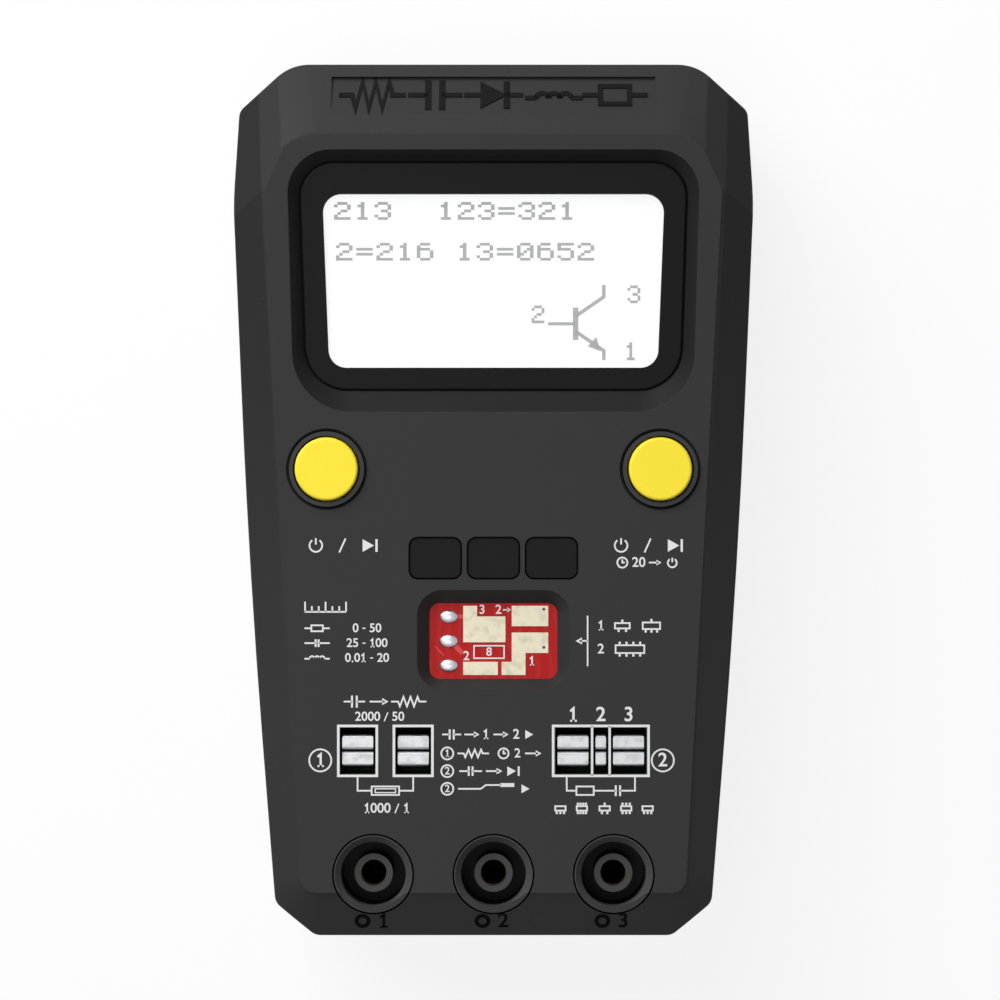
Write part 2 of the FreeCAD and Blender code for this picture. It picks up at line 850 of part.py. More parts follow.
# push buttons with their collars and switches
cap_radius = s.button_diameter / 2
collar_bore = cap_radius + s.button_gap
collar_radius = collar_bore + s.collar_wall
collar_foot = ceiling - s.collar_flange_thickness - s.collar_skirt
flange_top = collar_foot - s.stop_gap
flange_foot = flange_top - s.stop_thickness
switch_top = board_top + s.switch_height
plunger_top = switch_top + s.plunger_rise
plunger_foot = switch_top - s.plunger_depth
plunger_radius = s.plunger_diameter / 2
button_top = panel_z + s.button_proud
sides = (("left", -button_x), ("right", button_x))
buttons = []
for side, x in sides:
    buttons += [
        turned(side + "_button_cap", x, button_y, [
            (0, plunger_top), (s.stem_diameter / 2, plunger_top),
            (s.stem_diameter / 2, flange_foot), (cap_radius + s.stop_flange, flange_foot),
            (cap_radius + s.stop_flange, flange_top), (cap_radius, flange_top),
            (cap_radius, button_top, s.button_edge_radius), (0, button_top)]),
        turned(side + "_button_collar", x, button_y, [
            (collar_bore, collar_foot), (collar_radius, collar_foot),
            (collar_radius, ceiling - s.collar_flange_thickness),
            (collar_radius + s.collar_flange, ceiling - s.collar_flange_thickness),
            (collar_radius + s.collar_flange, ceiling), (collar_radius, ceiling),
            (collar_radius, panel_z + s.collar_proud), (collar_bore, panel_z + s.collar_proud)]),
        turned(side + "_switch_plunger", x, button_y, [
            (0, plunger_foot), (plunger_radius, plunger_foot), (plunger_radius, plunger_top),
            (0, plunger_top)]),
        cut(side + "_switch_body",
            block(side + "_switch_block", x, button_y, board_top, s.switch_width,
                  s.switch_width, s.switch_height),
            [rod(side + "_switch_bore", x, button_y,
                 plunger_foot - s.button_travel - s.plunger_gap,
                 s.plunger_diameter + s.plunger_gap * 2, s.switch_height)])]
hole_radius = collar_radius + s.fit_gap
button_holes = [turned(side + "_button_hole", x, button_y, [
    (0, tub_z), (hole_radius, tub_z), (hole_radius, panel_z - s.groove_depth),
    (hole_radius + s.groove_width, panel_z), (hole_radius + s.groove_width, panel_z + 1),
    (0, panel_z + 1)]) for side, x in sides]

# three blank keys on one plate
key_places = [s.key_pitch * i for i in (-1, 0, 1)]
plate_z = ceiling - s.key_plate_thickness
key_base = block("key_base", dim(0), key_y, plate_z,
                 s.key_pitch * 2 + s.key_width + s.key_plate_margin * 2,
                 s.key_height + s.key_plate_margin * 2, s.key_plate_thickness)
keys = [plate("key_%d" % i, rectangle(x, key_y, s.key_width, s.key_height, s.key_radius),
              plate_z, panel_z - s.key_sink - plate_z) for i, x in enumerate(key_places)]
blank_keys = fuse("blank_keys", [key_base] + keys)
key_holes = [plate("key_hole_%d" % i,
                   rectangle(x, key_y, s.key_width + s.key_gap * 2, s.key_height + s.key_gap * 2,
                             s.key_radius + s.key_gap), tub_z, panel_z - tub_z + 1)
             for i, x in enumerate(key_places)]

# pad board for surface mounted parts, its pins and solder joints
pad_recess = lofted(
    "pad_recess",
    rectangle(0, pad_y, s.pad_window_width, s.pad_window_height,
              s.pad_window_radius), ceiling,
    rectangle(0, pad_recess_y, s.pad_recess_width, s.pad_recess_height,
              s.pad_recess_radius), panel_z)
pad_board_z = ceiling - s.pad_board_thickness
pad_board = block("pad_board", dim(0), pad_y, pad_board_z,
                  s.pad_window_width + s.pad_board_margin * 2,
                  s.pad_window_height + s.pad_board_margin * 2, s.pad_board_thickness)
pad_head_y = pad_y + s.pad_head
pad_foot_y = pad_y - s.pad_foot
foot_top = pad_foot_y + s.pad_foot_depth
left_low = pad_head_y - s.pad_left_depth
upper_low = pad_head_y - s.pad_right_depth
lower_top = upper_low - s.pad_gap
lower_low = lower_top - s.pad_right_depth
tab_x = s.pad_tab_width - s.pad_left_reach
tab_low = pad_head_y - s.pad_tab_height
lane_left = s.pad_lane - s.pad_gap / 2
lane_right = s.pad_lane + s.pad_gap / 2
stem_x = lane_right + s.pad_stem_width
toe_x = lane_right - s.pad_toe
far_left, far_right = -s.pad_left_reach, s.pad_right_reach


def pad(name, corners):
    """One contact pad on the board."""
    return plate(name, corners, ceiling, s.pad_thickness)


test_pads = group("test_pads", [
    pad("pad_left", [
        (far_left, left_low), (lane_left, left_low), (lane_left, tab_low), (tab_x, tab_low),
        (tab_x, pad_head_y), (far_left, pad_head_y)]),
    pad("pad_upper", [
        (lane_right, upper_low), (far_right, upper_low), (far_right, pad_head_y),
        (lane_right, pad_head_y)]),
    pad("pad_lower", [
        (lane_right, lower_top), (lane_right, foot_top), (toe_x, foot_top),
        (toe_x, pad_foot_y), (stem_x, pad_foot_y), (stem_x, lower_low),
        (far_right, lower_low), (far_right, lower_top)]),
    pad("pad_foot", [
        (far_left, pad_foot_y), (toe_x - s.pad_toe_gap, pad_foot_y),
        (toe_x - s.pad_toe_gap, foot_top), (far_left, foot_top)])])
joint_places = [(-s.joint_offset, pad_y + s.joint_pitch * i) for i in (-1, 0, 1)]
pad_pins = group("pad_pins", [
    block("pad_pin_%d" % i, x, y, board_top, s.pin_size, s.pin_size, pad_board_z - board_top)
    for i, (x, y) in enumerate(joint_places)])
solder_joints = group("solder_joints", [
    dome("solder_joint_%d" % i, x, y, ceiling, s.joint_length, s.joint_width, s.joint_height)
    for i, (x, y) in enumerate(joint_places)])

# spring clips: bent leaves in pairs, standing in slotted bases
leaf_foot = board_top + s.clip_base_floor
leaf_top = panel_z - s.clip_sink
base_top = board_top + s.clip_base_height


def leaf(name, x, width, side):
    """One bent leaf; the side tells which way it lies from the slit."""
    def off(distance):
        return clip_y + (s.slit_gap / 2 + distance) * side

    inner_foot = leaf_top - s.leaf_inner_length
    outer_radius = s.leaf_radius
    inner_radius = s.leaf_radius - s.leaf_thickness
    thin = s.leaf_thickness
    body = new_body(name)
    sketch = sketch_on(body, name + "_profile", "YZ_Plane", x - width / 2)
    draw(sketch, [
        (off(dim(0)), inner_foot), (off(dim(0)), leaf_top, outer_radius),
        (off(s.leaf_depth), leaf_top, outer_radius), (off(s.leaf_depth), leaf_foot),
        (off(s.leaf_depth - thin), leaf_foot),
        (off(s.leaf_depth - thin), leaf_top - thin, inner_radius),
        (off(thin), leaf_top - thin, inner_radius), (off(thin), inner_foot)])
    add_pad(body, sketch, name + "_pad", width)
    return body


def corner_trim(clip, x, width, radius):
    """What is filed off the outer corners of a pair of leaves."""
    across = width + s.leaf_slot_gap * 0.1
    along = s.slit_gap + s.leaf_depth * 2 + s.leaf_slot_gap * 0.1
    low = leaf_top - s.leaf_corner_depth
    around = block(clip + "_trim_block", x, clip_y, low, across + s.leaf_corner,
                   along + s.leaf_corner, s.leaf_corner_depth + 1)
    kept = plate(clip + "_trim_core", rectangle(x, clip_y, across, along, radius), low - 1,
                 s.leaf_corner_depth + 3)
    return cut(clip + "_trim", around, [kept])


def leaf_slot(name, x, width, side):
    """The slot in which a leaf stands."""
    middle = clip_y + (s.slit_gap / 2 + s.leaf_depth - s.leaf_thickness / 2) * side
    return block(name, x, middle, leaf_foot, width + s.leaf_slot_gap * 2,
                 s.leaf_thickness + s.leaf_slot_gap * 2, s.clip_base_height)


def clip_base(name, clips):
    """The slotted base under a row of clips."""
    first, last = clips[0], clips[-1]
    start = first[1] - first[2] / 2 - s.clip_base_margin
    end = last[1] + last[2] / 2 + s.clip_base_margin
    depth = s.slit_gap + s.leaf_depth * 2 + s.leaf_slot_gap * 2 + s.clip_base_margin
    slots = [leaf_slot("%s_slot_%d" % (clip, side + 1), x, width, side)
             for clip, x, width in clips for side in (-1, 1)]
    return cut(name, block(name + "_block", (start + end) / 2, clip_y, board_top, end - start,
                           depth, s.clip_base_height), slots)


discharge_clips = [
    ("discharge_clip_left", -s.discharge_clip_x - s.discharge_clip_pitch / 2, s.clip_width),
    ("discharge_clip_right", -s.discharge_clip_x + s.discharge_clip_pitch / 2, s.clip_width)]
test_clips = [
    ("test_clip_1", s.test_clip_x - s.test_clip_pitch, s.clip_width),
    ("test_clip_2", s.test_clip_x, s.narrow_clip_width),
    ("test_clip_3", s.test_clip_x + s.test_clip_pitch, s.clip_width)]
clips = discharge_clips + test_clips
leaves = []
for clip, x, width in clips:
    corner = s.narrow_clip_width * 0.4 if clip == "test_clip_2" else s.leaf_corner
    trim = corner_trim(clip, x, width, corner)
    for word, side in (("upper", 1), ("lower", -1)):
        bent = leaf("%s_%s_bent" % (clip, word), x, width, side)
        leaves.append(cut("%s_%s" % (clip, word), bent, [trim]))
discharge_clip_base = clip_base("discharge_clip_base", discharge_clips)
test_clip_base = clip_base("test_clip_base", test_clips)
clip_holes = [block(clip + "_hole", x, clip_y, tub_z, width + s.clip_side_gap * 2,
                    s.clip_window_height, panel_z - tub_z + 1) for clip, x, width in clips]

# jacks for plugs: moulded sockets and turned contacts
jack_places = [s.jack_pitch * i for i in (-1, 0, 1)]
jack_radius = s.jack_diameter / 2
sleeve_radius = s.sleeve_diameter / 2
plug_radius = s.plug_bore / 2
contact_radius = plug_radius + s.contact_wall
sleeve_top = panel_z - s.sleeve_sink
contact_top = sleeve_top - s.sleeve_lip
sockets, contacts, jack_holes = [], [], []
for i, x in enumerate(jack_places, 1):
    blank = turned("jack_%d_blank" % i, x, jack_y, [
        (contact_radius + s.contact_gap, board_top), (jack_radius, board_top),
        (jack_radius, panel_z + s.fit_gap), (jack_radius - s.jack_wall, panel_z - s.jack_funnel),
        (jack_radius - s.jack_wall, board_top + s.jack_floor),
        (sleeve_radius, board_top + s.jack_floor), (sleeve_radius, sleeve_top),
        (plug_radius + s.lip_clearance, sleeve_top),
        (plug_radius + s.lip_clearance, contact_top),
        (contact_radius + s.contact_gap, contact_top)])
    sockets.append(common("jack_%d_socket" % i, blank, front_solid))
    flange = contact_radius + s.contact_flange
    flange_z = board_z - s.contact_flange_thickness
    contacts.append(turned("jack_%d_contact" % i, x, jack_y, [
        (plug_radius, contact_top - s.contact_length),
        (contact_radius, contact_top - s.contact_length), (contact_radius, flange_z),
        (flange, flange_z), (flange, board_z), (contact_radius, board_z),
        (contact_radius, contact_top), (plug_radius, contact_top)]))
    jack_holes.append(rod("jack_hole_%d" % i, x, jack_y, board_top,
                          s.jack_diameter + s.jack_gap * 2, panel_z - board_top + 1))

# main board with its parts
case_screw_places = [
    (x * side, y)
    for x, y in ((half_width - s.head_screw_inset, head_y - s.head_screw_margin),
                 (tail_x - s.tail_screw_inset, s.tail_screw_margin - head_y))
    for side in (-1, 1)]
board_screw_places = [
    (x * side, y)
    for x, y in ((half_width - s.board_screw_inset, head_y - s.board_screw_margin),
                 (tail_x - s.board_screw_tail_inset, pad_recess_y + s.board_screw_tail_rise))
    for side in (-1, 1)]
tongue_x = s.jack_pitch + jack_radius + s.board_tongue_margin
board_right = [
    (half_width - s.board_head_inset, head_y - s.board_head_margin),
    (tail_x - s.board_tail_inset, s.board_step - head_y), (tongue_x, s.board_step - head_y),
    (tongue_x, s.board_tail_margin - head_y)]
board_blank = plate("board_blank", board_right + [(-x, y) for x, y in reversed(board_right)],
                    board_z, s.board_thickness)
board_holes = [rod("board_hole_%d" % i, x, y, board_z - 1,
                   s.board_screw_diameter + s.screw_clearance * 2, s.board_thickness + 2)
               for i, (x, y) in enumerate(board_screw_places)]
contact_holes = [rod("contact_hole_%d" % i, x, jack_y, board_z - 1,
                     (contact_radius + s.contact_gap) * 2, s.board_thickness + 2)
                 for i, x in enumerate(jack_places)]
boss_notches = [rod("boss_notch_%d" % i, x, y, board_z - 1,
                    s.case_boss_diameter + s.boss_gap * 2, s.board_thickness + 2)
                for i, (x, y) in enumerate(case_screw_places)]
main_board = cut("main_board", board_blank, board_holes + contact_holes + boss_notches)
chip_y = button_y - s.chip_drop
chip_body = block("chip_body", dim(0), chip_y, board_top, s.chip_width, s.chip_width,
                  s.chip_thickness)
chip_leads = [block("chip_lead_%d" % i, s.chip_width * 0.11 * (i - 3.5), chip_y, board_top,
                    s.chip_width * 0.04, s.chip_width + s.chip_lead_length * 2,
                    s.chip_thickness * 0.3) for i in range(8)]
microcontroller = fuse("microcontroller", [chip_body] + chip_leads)
crystal_x = s.chip_width / 2 + s.crystal_width
crystal = plate("crystal", rectangle(crystal_x, chip_y, s.crystal_width, s.crystal_length,
                                     s.crystal_width * 0.45), board_top, s.crystal_height)
regulator_x = -s.chip_width / 2 - s.regulator_depth * 2
voltage_regulator = block("voltage_regulator", regulator_x, chip_y + s.regulator_width,
                          board_top, s.regulator_depth, s.regulator_width, s.regulator_height)
reservoir_capacitor = rod("reservoir_capacitor", regulator_x, chip_y - s.capacitor_diameter / 2,
                          board_top, s.capacitor_diameter, s.capacitor_height)
passive_row = pad_recess_y - s.pad_recess_height / 2 - s.passive_width
chip_passives = group("chip_passives", [
    block("chip_passive_%d" % i, s.passive_length * 1.6 * (i - 2.5), passive_row, board_top,
          s.passive_length, s.passive_width, s.passive_height) for i in range(6)])
wire_z = board_top + s.resistor_diameter / 2 + s.resistor_wire / 2
resistor_y = clip_y - s.resistor_drop
resistor_x = s.resistor_span / 2 - s.discharge_clip_x
discharge_resistor = fuse("discharge_resistor", [
    lying_rod("resistor_body", resistor_x - s.resistor_length / 2, resistor_y, wire_z,
              s.resistor_diameter, s.resistor_length),
    lying_rod("resistor_wire_across", resistor_x - s.resistor_span / 2, resistor_y, wire_z,
              s.resistor_wire, s.resistor_span)] + [
    rod("resistor_wire_%d" % i, resistor_x + s.resistor_span * 0.5 * i, resistor_y, board_top,
        s.resistor_wire, wire_z - board_top) for i in (-1, 1)])
board_screws = group("board_screws", [
    screw("board_screw_%d" % i, x, y, board_z, s.board_screw_head,
          s.board_screw_head_height, s.board_screw_diameter,
          s.board_thickness + s.board_screw_length)
    for i, (x, y) in enumerate(board_screw_places)])

# front shell
tub = block("display_tub", dim(0), (recess_head + recess_tail) / 2, tub_z,
            recess_head_width + s.tub_wall * 2, recess_length + s.tub_wall * 2,
            panel_z - tub_z)
board_bosses = [rod("board_boss_%d" % i, x, y, board_top, s.board_boss_diameter,
                    panel_z - board_top) for i, (x, y) in enumerate(board_screw_places)]
case_bosses = [rod("case_boss_%d" % i, x, y, s.parting_height, s.case_boss_diameter,
                   panel_z - s.parting_height) for i, (x, y) in enumerate(case_screw_places)]
inside = common("front_inside", fuse("front_additions", [tub] + board_bosses + case_bosses),
                front_solid)
front_walls = cut("front_walls", front_solid, [front_hollow])
front_full = fuse("front_full", [front_walls, inside])
recess = lofted(
    "display_recess",
    recess_outline(s.recess_wall_run, s.recess_ramp_run, s.bezel_head_radius,
                   s.bezel_tail_radius), recess_z,
    recess_outline(dim(0), dim(0), s.recess_head_radius, s.recess_tail_radius), panel_z)
bezel_pocket = plate("bezel_pocket", bezel_outline(dim(0)), shelf_z, s.bezel_sink)
lens_opening = display_slab("lens_opening", s.lens_margin + s.fit_gap, tub_z - 1,
                            s.shelf_thickness + 1)
rebate = inset_block("rebate", s.side_wall / 2, s.tongue_height + s.fit_gap)
pilots = [rod("board_pilot_%d" % i, x, y, board_top - 1,
              s.board_screw_diameter + s.pilot_clearance * 2, s.board_screw_length + 1.5)
          for i, (x, y) in enumerate(board_screw_places)]
pilots += [rod("case_pilot_%d" % i, x, y, s.parting_height - 1,
               s.case_screw_diameter + s.pilot_clearance * 2,
               s.well_depth + s.case_screw_length - s.parting_height + 1.5)
           for i, (x, y) in enumerate(case_screw_places)]
rise = Dim(1 / math.tan(math.radians(s.slope_angle.value)), "(1 / tan(Sizes.slope_angle * 1 deg))")
tablet = new_body("head_tablet")
tablet_sketch = sketch_on(tablet, "tablet_profile", "YZ_Plane", -s.tablet_width / 2)
tablet_start = panel_head + s.tablet_gap
tablet_end = tablet_start + s.tablet_run
start_z = slope_top - s.tablet_gap * rise
end_z = start_z - s.tablet_run * rise
draw(tablet_sketch, [(tablet_start, start_z), (tablet_end, end_z - s.tablet_sink),
                     (tablet_end, start_z + 2), (tablet_start, start_z + 2)])
add_pad(tablet, tablet_sketch, "tablet_pad", s.tablet_width)
front_shell = cut("front_shell", front_full, [
    rebate, recess, bezel_pocket, lens_opening, pad_recess, tablet]
    + button_holes + key_holes + clip_holes + jack_holes + pilots)

# rear shell with the battery bay and the screw wells
rear_hollow = inset_block("rear_hollow", s.side_wall, s.tongue_height + 1,
                          s.parting_height - s.back_wall, down_taper=-s.rear_draft)
reveal_ring = cut("reveal_ring",
                  inset_block("reveal_outer", -s.reveal, dim(0), s.reveal),
                  [inset_block("reveal_inner", s.reveal, s.reveal, s.reveal * 2)])
tongue = inset_block("tongue", s.side_wall / 2 + s.tongue_gap, s.tongue_height, s.reveal * 2)
rear_walls = cut("rear_walls", fuse("rear_outside", [cut("rear_revealed", rear_block,
                                                         [reveal_ring]), tongue]),
                 [rear_hollow])
pocket_length = s.bay_length + s.ledge_end * 2
pocket_width = s.bay_width + s.ledge_width * 2
bay_box = block("bay_box", dim(0), bay_y, dim(0), s.bay_length + s.bay_wall * 2,
                s.bay_width + s.bay_wall * 2, bay_roof + s.bay_roof_thickness)
ledge = block("bay_ledge", dim(0), bay_y, dim(0), pocket_length + s.ledge_frame * 2,
              pocket_width + s.ledge_frame * 2, cover_top + s.ledge_thickness)
wells = [rod("well_%d" % i, x, y, dim(0), s.well_diameter, s.parting_height)
         for i, (x, y) in enumerate(case_screw_places)]
cover_screw_x = s.bay_length / 2 + s.cover_screw_inset
cover_screw_places = [(cover_screw_x * side, bay_y) for side in (-1, 1)]
cover_bosses = [rod("cover_boss_%d" % i, x, y, cover_top, s.cover_boss_diameter,
                    s.cover_boss_height) for i, (x, y) in enumerate(cover_screw_places)]
rear_additions = common("rear_inside", fuse("rear_additions", [ledge] + wells + cover_bosses),
                        rear_block)
rear_full = fuse("rear_full", [rear_walls, rear_additions, bay_box])
bay = block("bay", dim(0), bay_y, cover_top - 1, s.bay_length, s.bay_width,
            bay_roof - cover_top + 1)
cover_pocket = plate("cover_pocket", rectangle(0, bay_y, pocket_length, pocket_width,
                                               s.cover_radius), dim(-1), cover_top + 1)
well_cuts = []
for i, (x, y) in enumerate(case_screw_places):
    well_cuts += [
        rod("well_bore_%d" % i, x, y, dim(-1), s.well_bore, s.well_depth + 1),
        rod("well_hole_%d" % i, x, y, dim(0),
            s.case_screw_diameter + s.screw_clearance * 2, s.parting_height + 1)]
cover_pilots = [rod("cover_pilot_%d" % i, x, y, cover_top - 1,
                    s.cover_screw_diameter + s.pilot_clearance * 2, s.cover_screw_length + 1.5)
                for i, (x, y) in enumerate(cover_screw_places)]
battery_end = s.battery_length - s.battery_start
terminal_z = battery_z + battery_thickness / 2
snap_face = battery_end + s.snap_thickness
lead_x = snap_face + s.lead_exit + s.lead_bend
lead_rows = (("red", bay_y + s.lead_offset), ("black", bay_y - s.lead_offset))
lead_holes = [rod("lead_hole_" + colour, lead_x, y, bay_roof - 1, s.lead_hole,
                  s.bay_roof_thickness + 2) for colour, y in lead_rows]
rear_shell = cut("rear_shell", rear_full,
                 [bay, cover_pocket] + well_cuts + cover_pilots + lead_holes)
case_screws = group("case_screws", [
    screw("case_screw_%d" % i, x, y, s.well_depth, s.case_screw_head, s.case_screw_head_height,
          s.case_screw_diameter, s.case_screw_length)
    for i, (x, y) in enumerate(case_screw_places)])

# battery cover and its screws
cover_blank = plate("cover_blank", rectangle(
    0, bay_y, pocket_length - s.cover_gap * 2, pocket_width - s.cover_gap * 2, s.cover_radius),
    s.cover_recess, s.cover_thickness)
cover_cuts = [rod("cover_hole_%d" % i, x, y, dim(-1),
                  s.cover_screw_diameter + s.screw_clearance * 2, cover_top + 2)
              for i, (x, y) in enumerate(cover_screw_places)]
cover_cuts += [rod("cover_sink_%d" % i, x, y, dim(-1), s.cover_screw_head + s.screw_clearance * 2,
                   s.cover_recess + s.cover_screw_head_height + 1)
               for i, (x, y) in enumerate(cover_screw_places)]
cover_cuts += [block("cover_grip_%d" % i, s.grip_pitch * (i - 3), bay_y, dim(-1),
                     s.grip_width, s.grip_length, s.cover_recess + s.grip_depth + 1)
               for i in range(7)]
battery_cover = cut("battery_cover", cover_blank, cover_cuts)
cover_seat = s.cover_recess + s.cover_screw_head_height
cover_screws = group("cover_screws", [
    screw("cover_screw_%d" % i, x, y, cover_seat, s.cover_screw_head, s.cover_screw_head_height,
          s.cover_screw_diameter, s.cover_thickness - s.cover_screw_head_height
          + s.cover_screw_length) for i, (x, y) in enumerate(cover_screw_places)])

# battery with its terminals, foam, snap and leads
battery_body = new_body("battery")
battery_sketch = sketch_on(battery_body, "battery_profile", "YZ_Plane", -s.battery_start)
draw(battery_sketch, rectangle(bay_y, terminal_z, s.battery_width, battery_thickness,
                               s.battery_radius))
add_pad(battery_body, battery_sketch, "battery_pad", s.battery_length)
battery_foam = block("battery_foam", battery_end - s.battery_length / 2, bay_y,
                     bay_roof - s.foam_thickness, s.foam_length, s.battery_width * 0.8,
                     s.foam_thickness)
terminals = (("stud", bay_y + s.terminal_pitch / 2, s.stud_diameter),
             ("socket", bay_y - s.terminal_pitch / 2, s.socket_diameter))
battery_terminals = group("battery_terminals", [
    lying_rod("terminal_" + kind, battery_end, y, terminal_z, diameter, s.terminal_height)
    for kind, y, diameter in terminals])
snap_block = block("snap_block", battery_end + s.snap_thickness / 2, bay_y,
                   terminal_z - s.snap_width / 2, s.snap_thickness, s.snap_length, s.snap_width)
battery_snap = cut("battery_snap", snap_block, [
    lying_rod("snap_pocket_" + kind, battery_end - 1, y, terminal_z, diameter + s.snap_gap * 2,
              s.terminal_height + s.snap_gap + 1) for kind, y, diameter in terminals])


def lead(name, y):
    """A lead from the snap, bent once and run up to the board."""
    body = new_body(name)
    path = sketch_on(body, name + "_path", "XZ_Plane", -y)
    turn_x = snap_face + s.lead_exit
    turn_z = terminal_z + s.lead_bend
    places = ((snap_face, terminal_z), (turn_x, terminal_z), (lead_x, turn_z),
              (lead_x, board_z))
    points = [V(x.value, z.value, 0) for x, z in places]
    runs = [path.addGeometry(Part.LineSegment(points[i], points[i + 1]), False) for i in (0, 2)]
    circle = Part.Circle(V(turn_x.value, turn_z.value, 0), V(0, 0, 1), s.lead_bend.value)
    arc = path.addGeometry(Part.ArcOfCircle(circle, -math.pi / 2, 0), False)
    for run, ends in zip(runs, (places[:2], places[2:])):
        for vertex, (x, z) in enumerate(ends, 1):
            pin(path, run, vertex, x, z)
    path.addConstraint(Sketcher.Constraint("Coincident", runs[0], 2, arc, 1))
    path.addConstraint(Sketcher.Constraint("Coincident", arc, 2, runs[1], 1))
    index = path.addConstraint(Sketcher.Constraint("Radius", arc, s.lead_bend.value))
    bind(path, "Constraints[%d]" % index, s.lead_bend)
    section = sketch_on(body, name + "_section", "YZ_Plane", snap_face)
    ring = section.addGeometry(Part.Circle(V(y.value, terminal_z.value, 0), V(0, 0, 1),
                                           s.lead_diameter.value / 2), False)
    pin(section, ring, 3, y, terminal_z)
    index = section.addConstraint(Sketcher.Constraint("Radius", ring, s.lead_diameter.value / 2))
    bind(section, "Constraints[%d]" % index, s.lead_diameter / 2)
    doc.recompute()
    pipe = body.newObject("PartDesign::AdditivePipe", name + "_pipe")
    pipe.Profile = section
    pipe.Spine = path
    return body


leads = [lead("battery_lead_" + colour, y) for colour, y in lead_rows]

PIECES = [
    front_shell, rear_shell, display_bezel, display_lens, lcd_glass, lcd_backlight, lcd_holder,
    lcd_pins, blank_keys, pad_board, test_pads, pad_pins, solder_joints, discharge_clip_base,
    test_clip_base, main_board, microcontroller, crystal, voltage_regulator,
    reservoir_capacitor, chip_passives, discharge_resistor, board_screws, case_screws,
    battery_cover, cover_screws, battery_body, battery_foam, battery_terminals, battery_snap]
PIECES += buttons + leaves + sockets + contacts + leads

doc.recompute()
failed = [item.Name for item in doc.Objects if "Invalid" in item.State or "Error" in item.State]
for piece in PIECES:
    if piece.Shape.isNull() or not piece.Shape.isValid() or not piece.Shape.Solids:
        failed.append(piece.Label)
if failed:
    raise RuntimeError("pieces that did not build: %s" % ", ".join(sorted(set(failed))))
os.makedirs("parts", exist_ok=True)
for piece in PIECES:
    piece.Shape.exportStep(os.path.join("parts", piece.Label + ".step"))
print("%d pieces written" % len(PIECES))
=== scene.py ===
"""Looks of a handheld component tester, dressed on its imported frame.

Lengths in the classes are millimetres in the frame of the part: X across the case, Y from the
jacks towards the display and Z out of the front panel.
"""
import logging
import math
from dataclasses import dataclass, field
from enum import Enum
from typing import Any, ClassVar, Dict, List, Optional, Sequence, Tuple, Union

import bmesh
import bpy
from mathutils import Matrix, Vector


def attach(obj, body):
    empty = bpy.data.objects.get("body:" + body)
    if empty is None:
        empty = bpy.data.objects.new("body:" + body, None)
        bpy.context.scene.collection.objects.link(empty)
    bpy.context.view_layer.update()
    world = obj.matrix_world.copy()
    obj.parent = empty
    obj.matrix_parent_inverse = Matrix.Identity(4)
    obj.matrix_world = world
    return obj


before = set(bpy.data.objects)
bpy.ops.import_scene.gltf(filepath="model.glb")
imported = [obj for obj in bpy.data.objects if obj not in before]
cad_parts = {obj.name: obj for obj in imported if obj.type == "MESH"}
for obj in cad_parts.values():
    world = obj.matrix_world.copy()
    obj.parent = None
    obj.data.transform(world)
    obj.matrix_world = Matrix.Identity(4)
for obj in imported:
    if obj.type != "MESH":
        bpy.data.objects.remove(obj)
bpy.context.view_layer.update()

MM = 0.001
CASE_BODY = "case"
log = logging.getLogger("component_tester")

Point = Tuple[float, float]
Triple = Tuple[float, float, float]
Colour = Triple

WHITE: Colour = (1.0, 1.0, 1.0)
DUST: Colour = (0.32, 0.31, 0.3)


class Slot(Enum):
    """Names of material slots; nothing in this script uses them."""

    BLACK_PLASTIC = "black_plastic"
    CASE_PLASTIC = "case_plastic"
    DISPLAY_GLASS = "display_glass"
    GOLD_PLATE = "gold_plate"
    RED_BOARD = "red_board"


class Way(Enum):
    """Which way an arrow points along X."""

    LEFT = -1
    RIGHT = 1


def box_of(name: str) -> Tuple[Vector, Vector]:
    """The box round a node of the frame, in millimetres.

    Args:
        name: Name of the node.

    Returns:
        Its lowest and its highest corner.
    """
    spots = [vertex.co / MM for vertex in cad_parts[name].data.vertices]
    low, high = (Vector([pick(spot[i] for spot in spots) for i in range(3)])
                 for pick in (min, max))
    return low, high


def top_of(name: str) -> float:
    """Height of a node's top, in millimetres."""
    return box_of(name)[1].z


def middle_of(name: str) -> Vector:
    """Middle of a node's box, in millimetres."""
    low, high = box_of(name)
    return (low + high) / 2.0


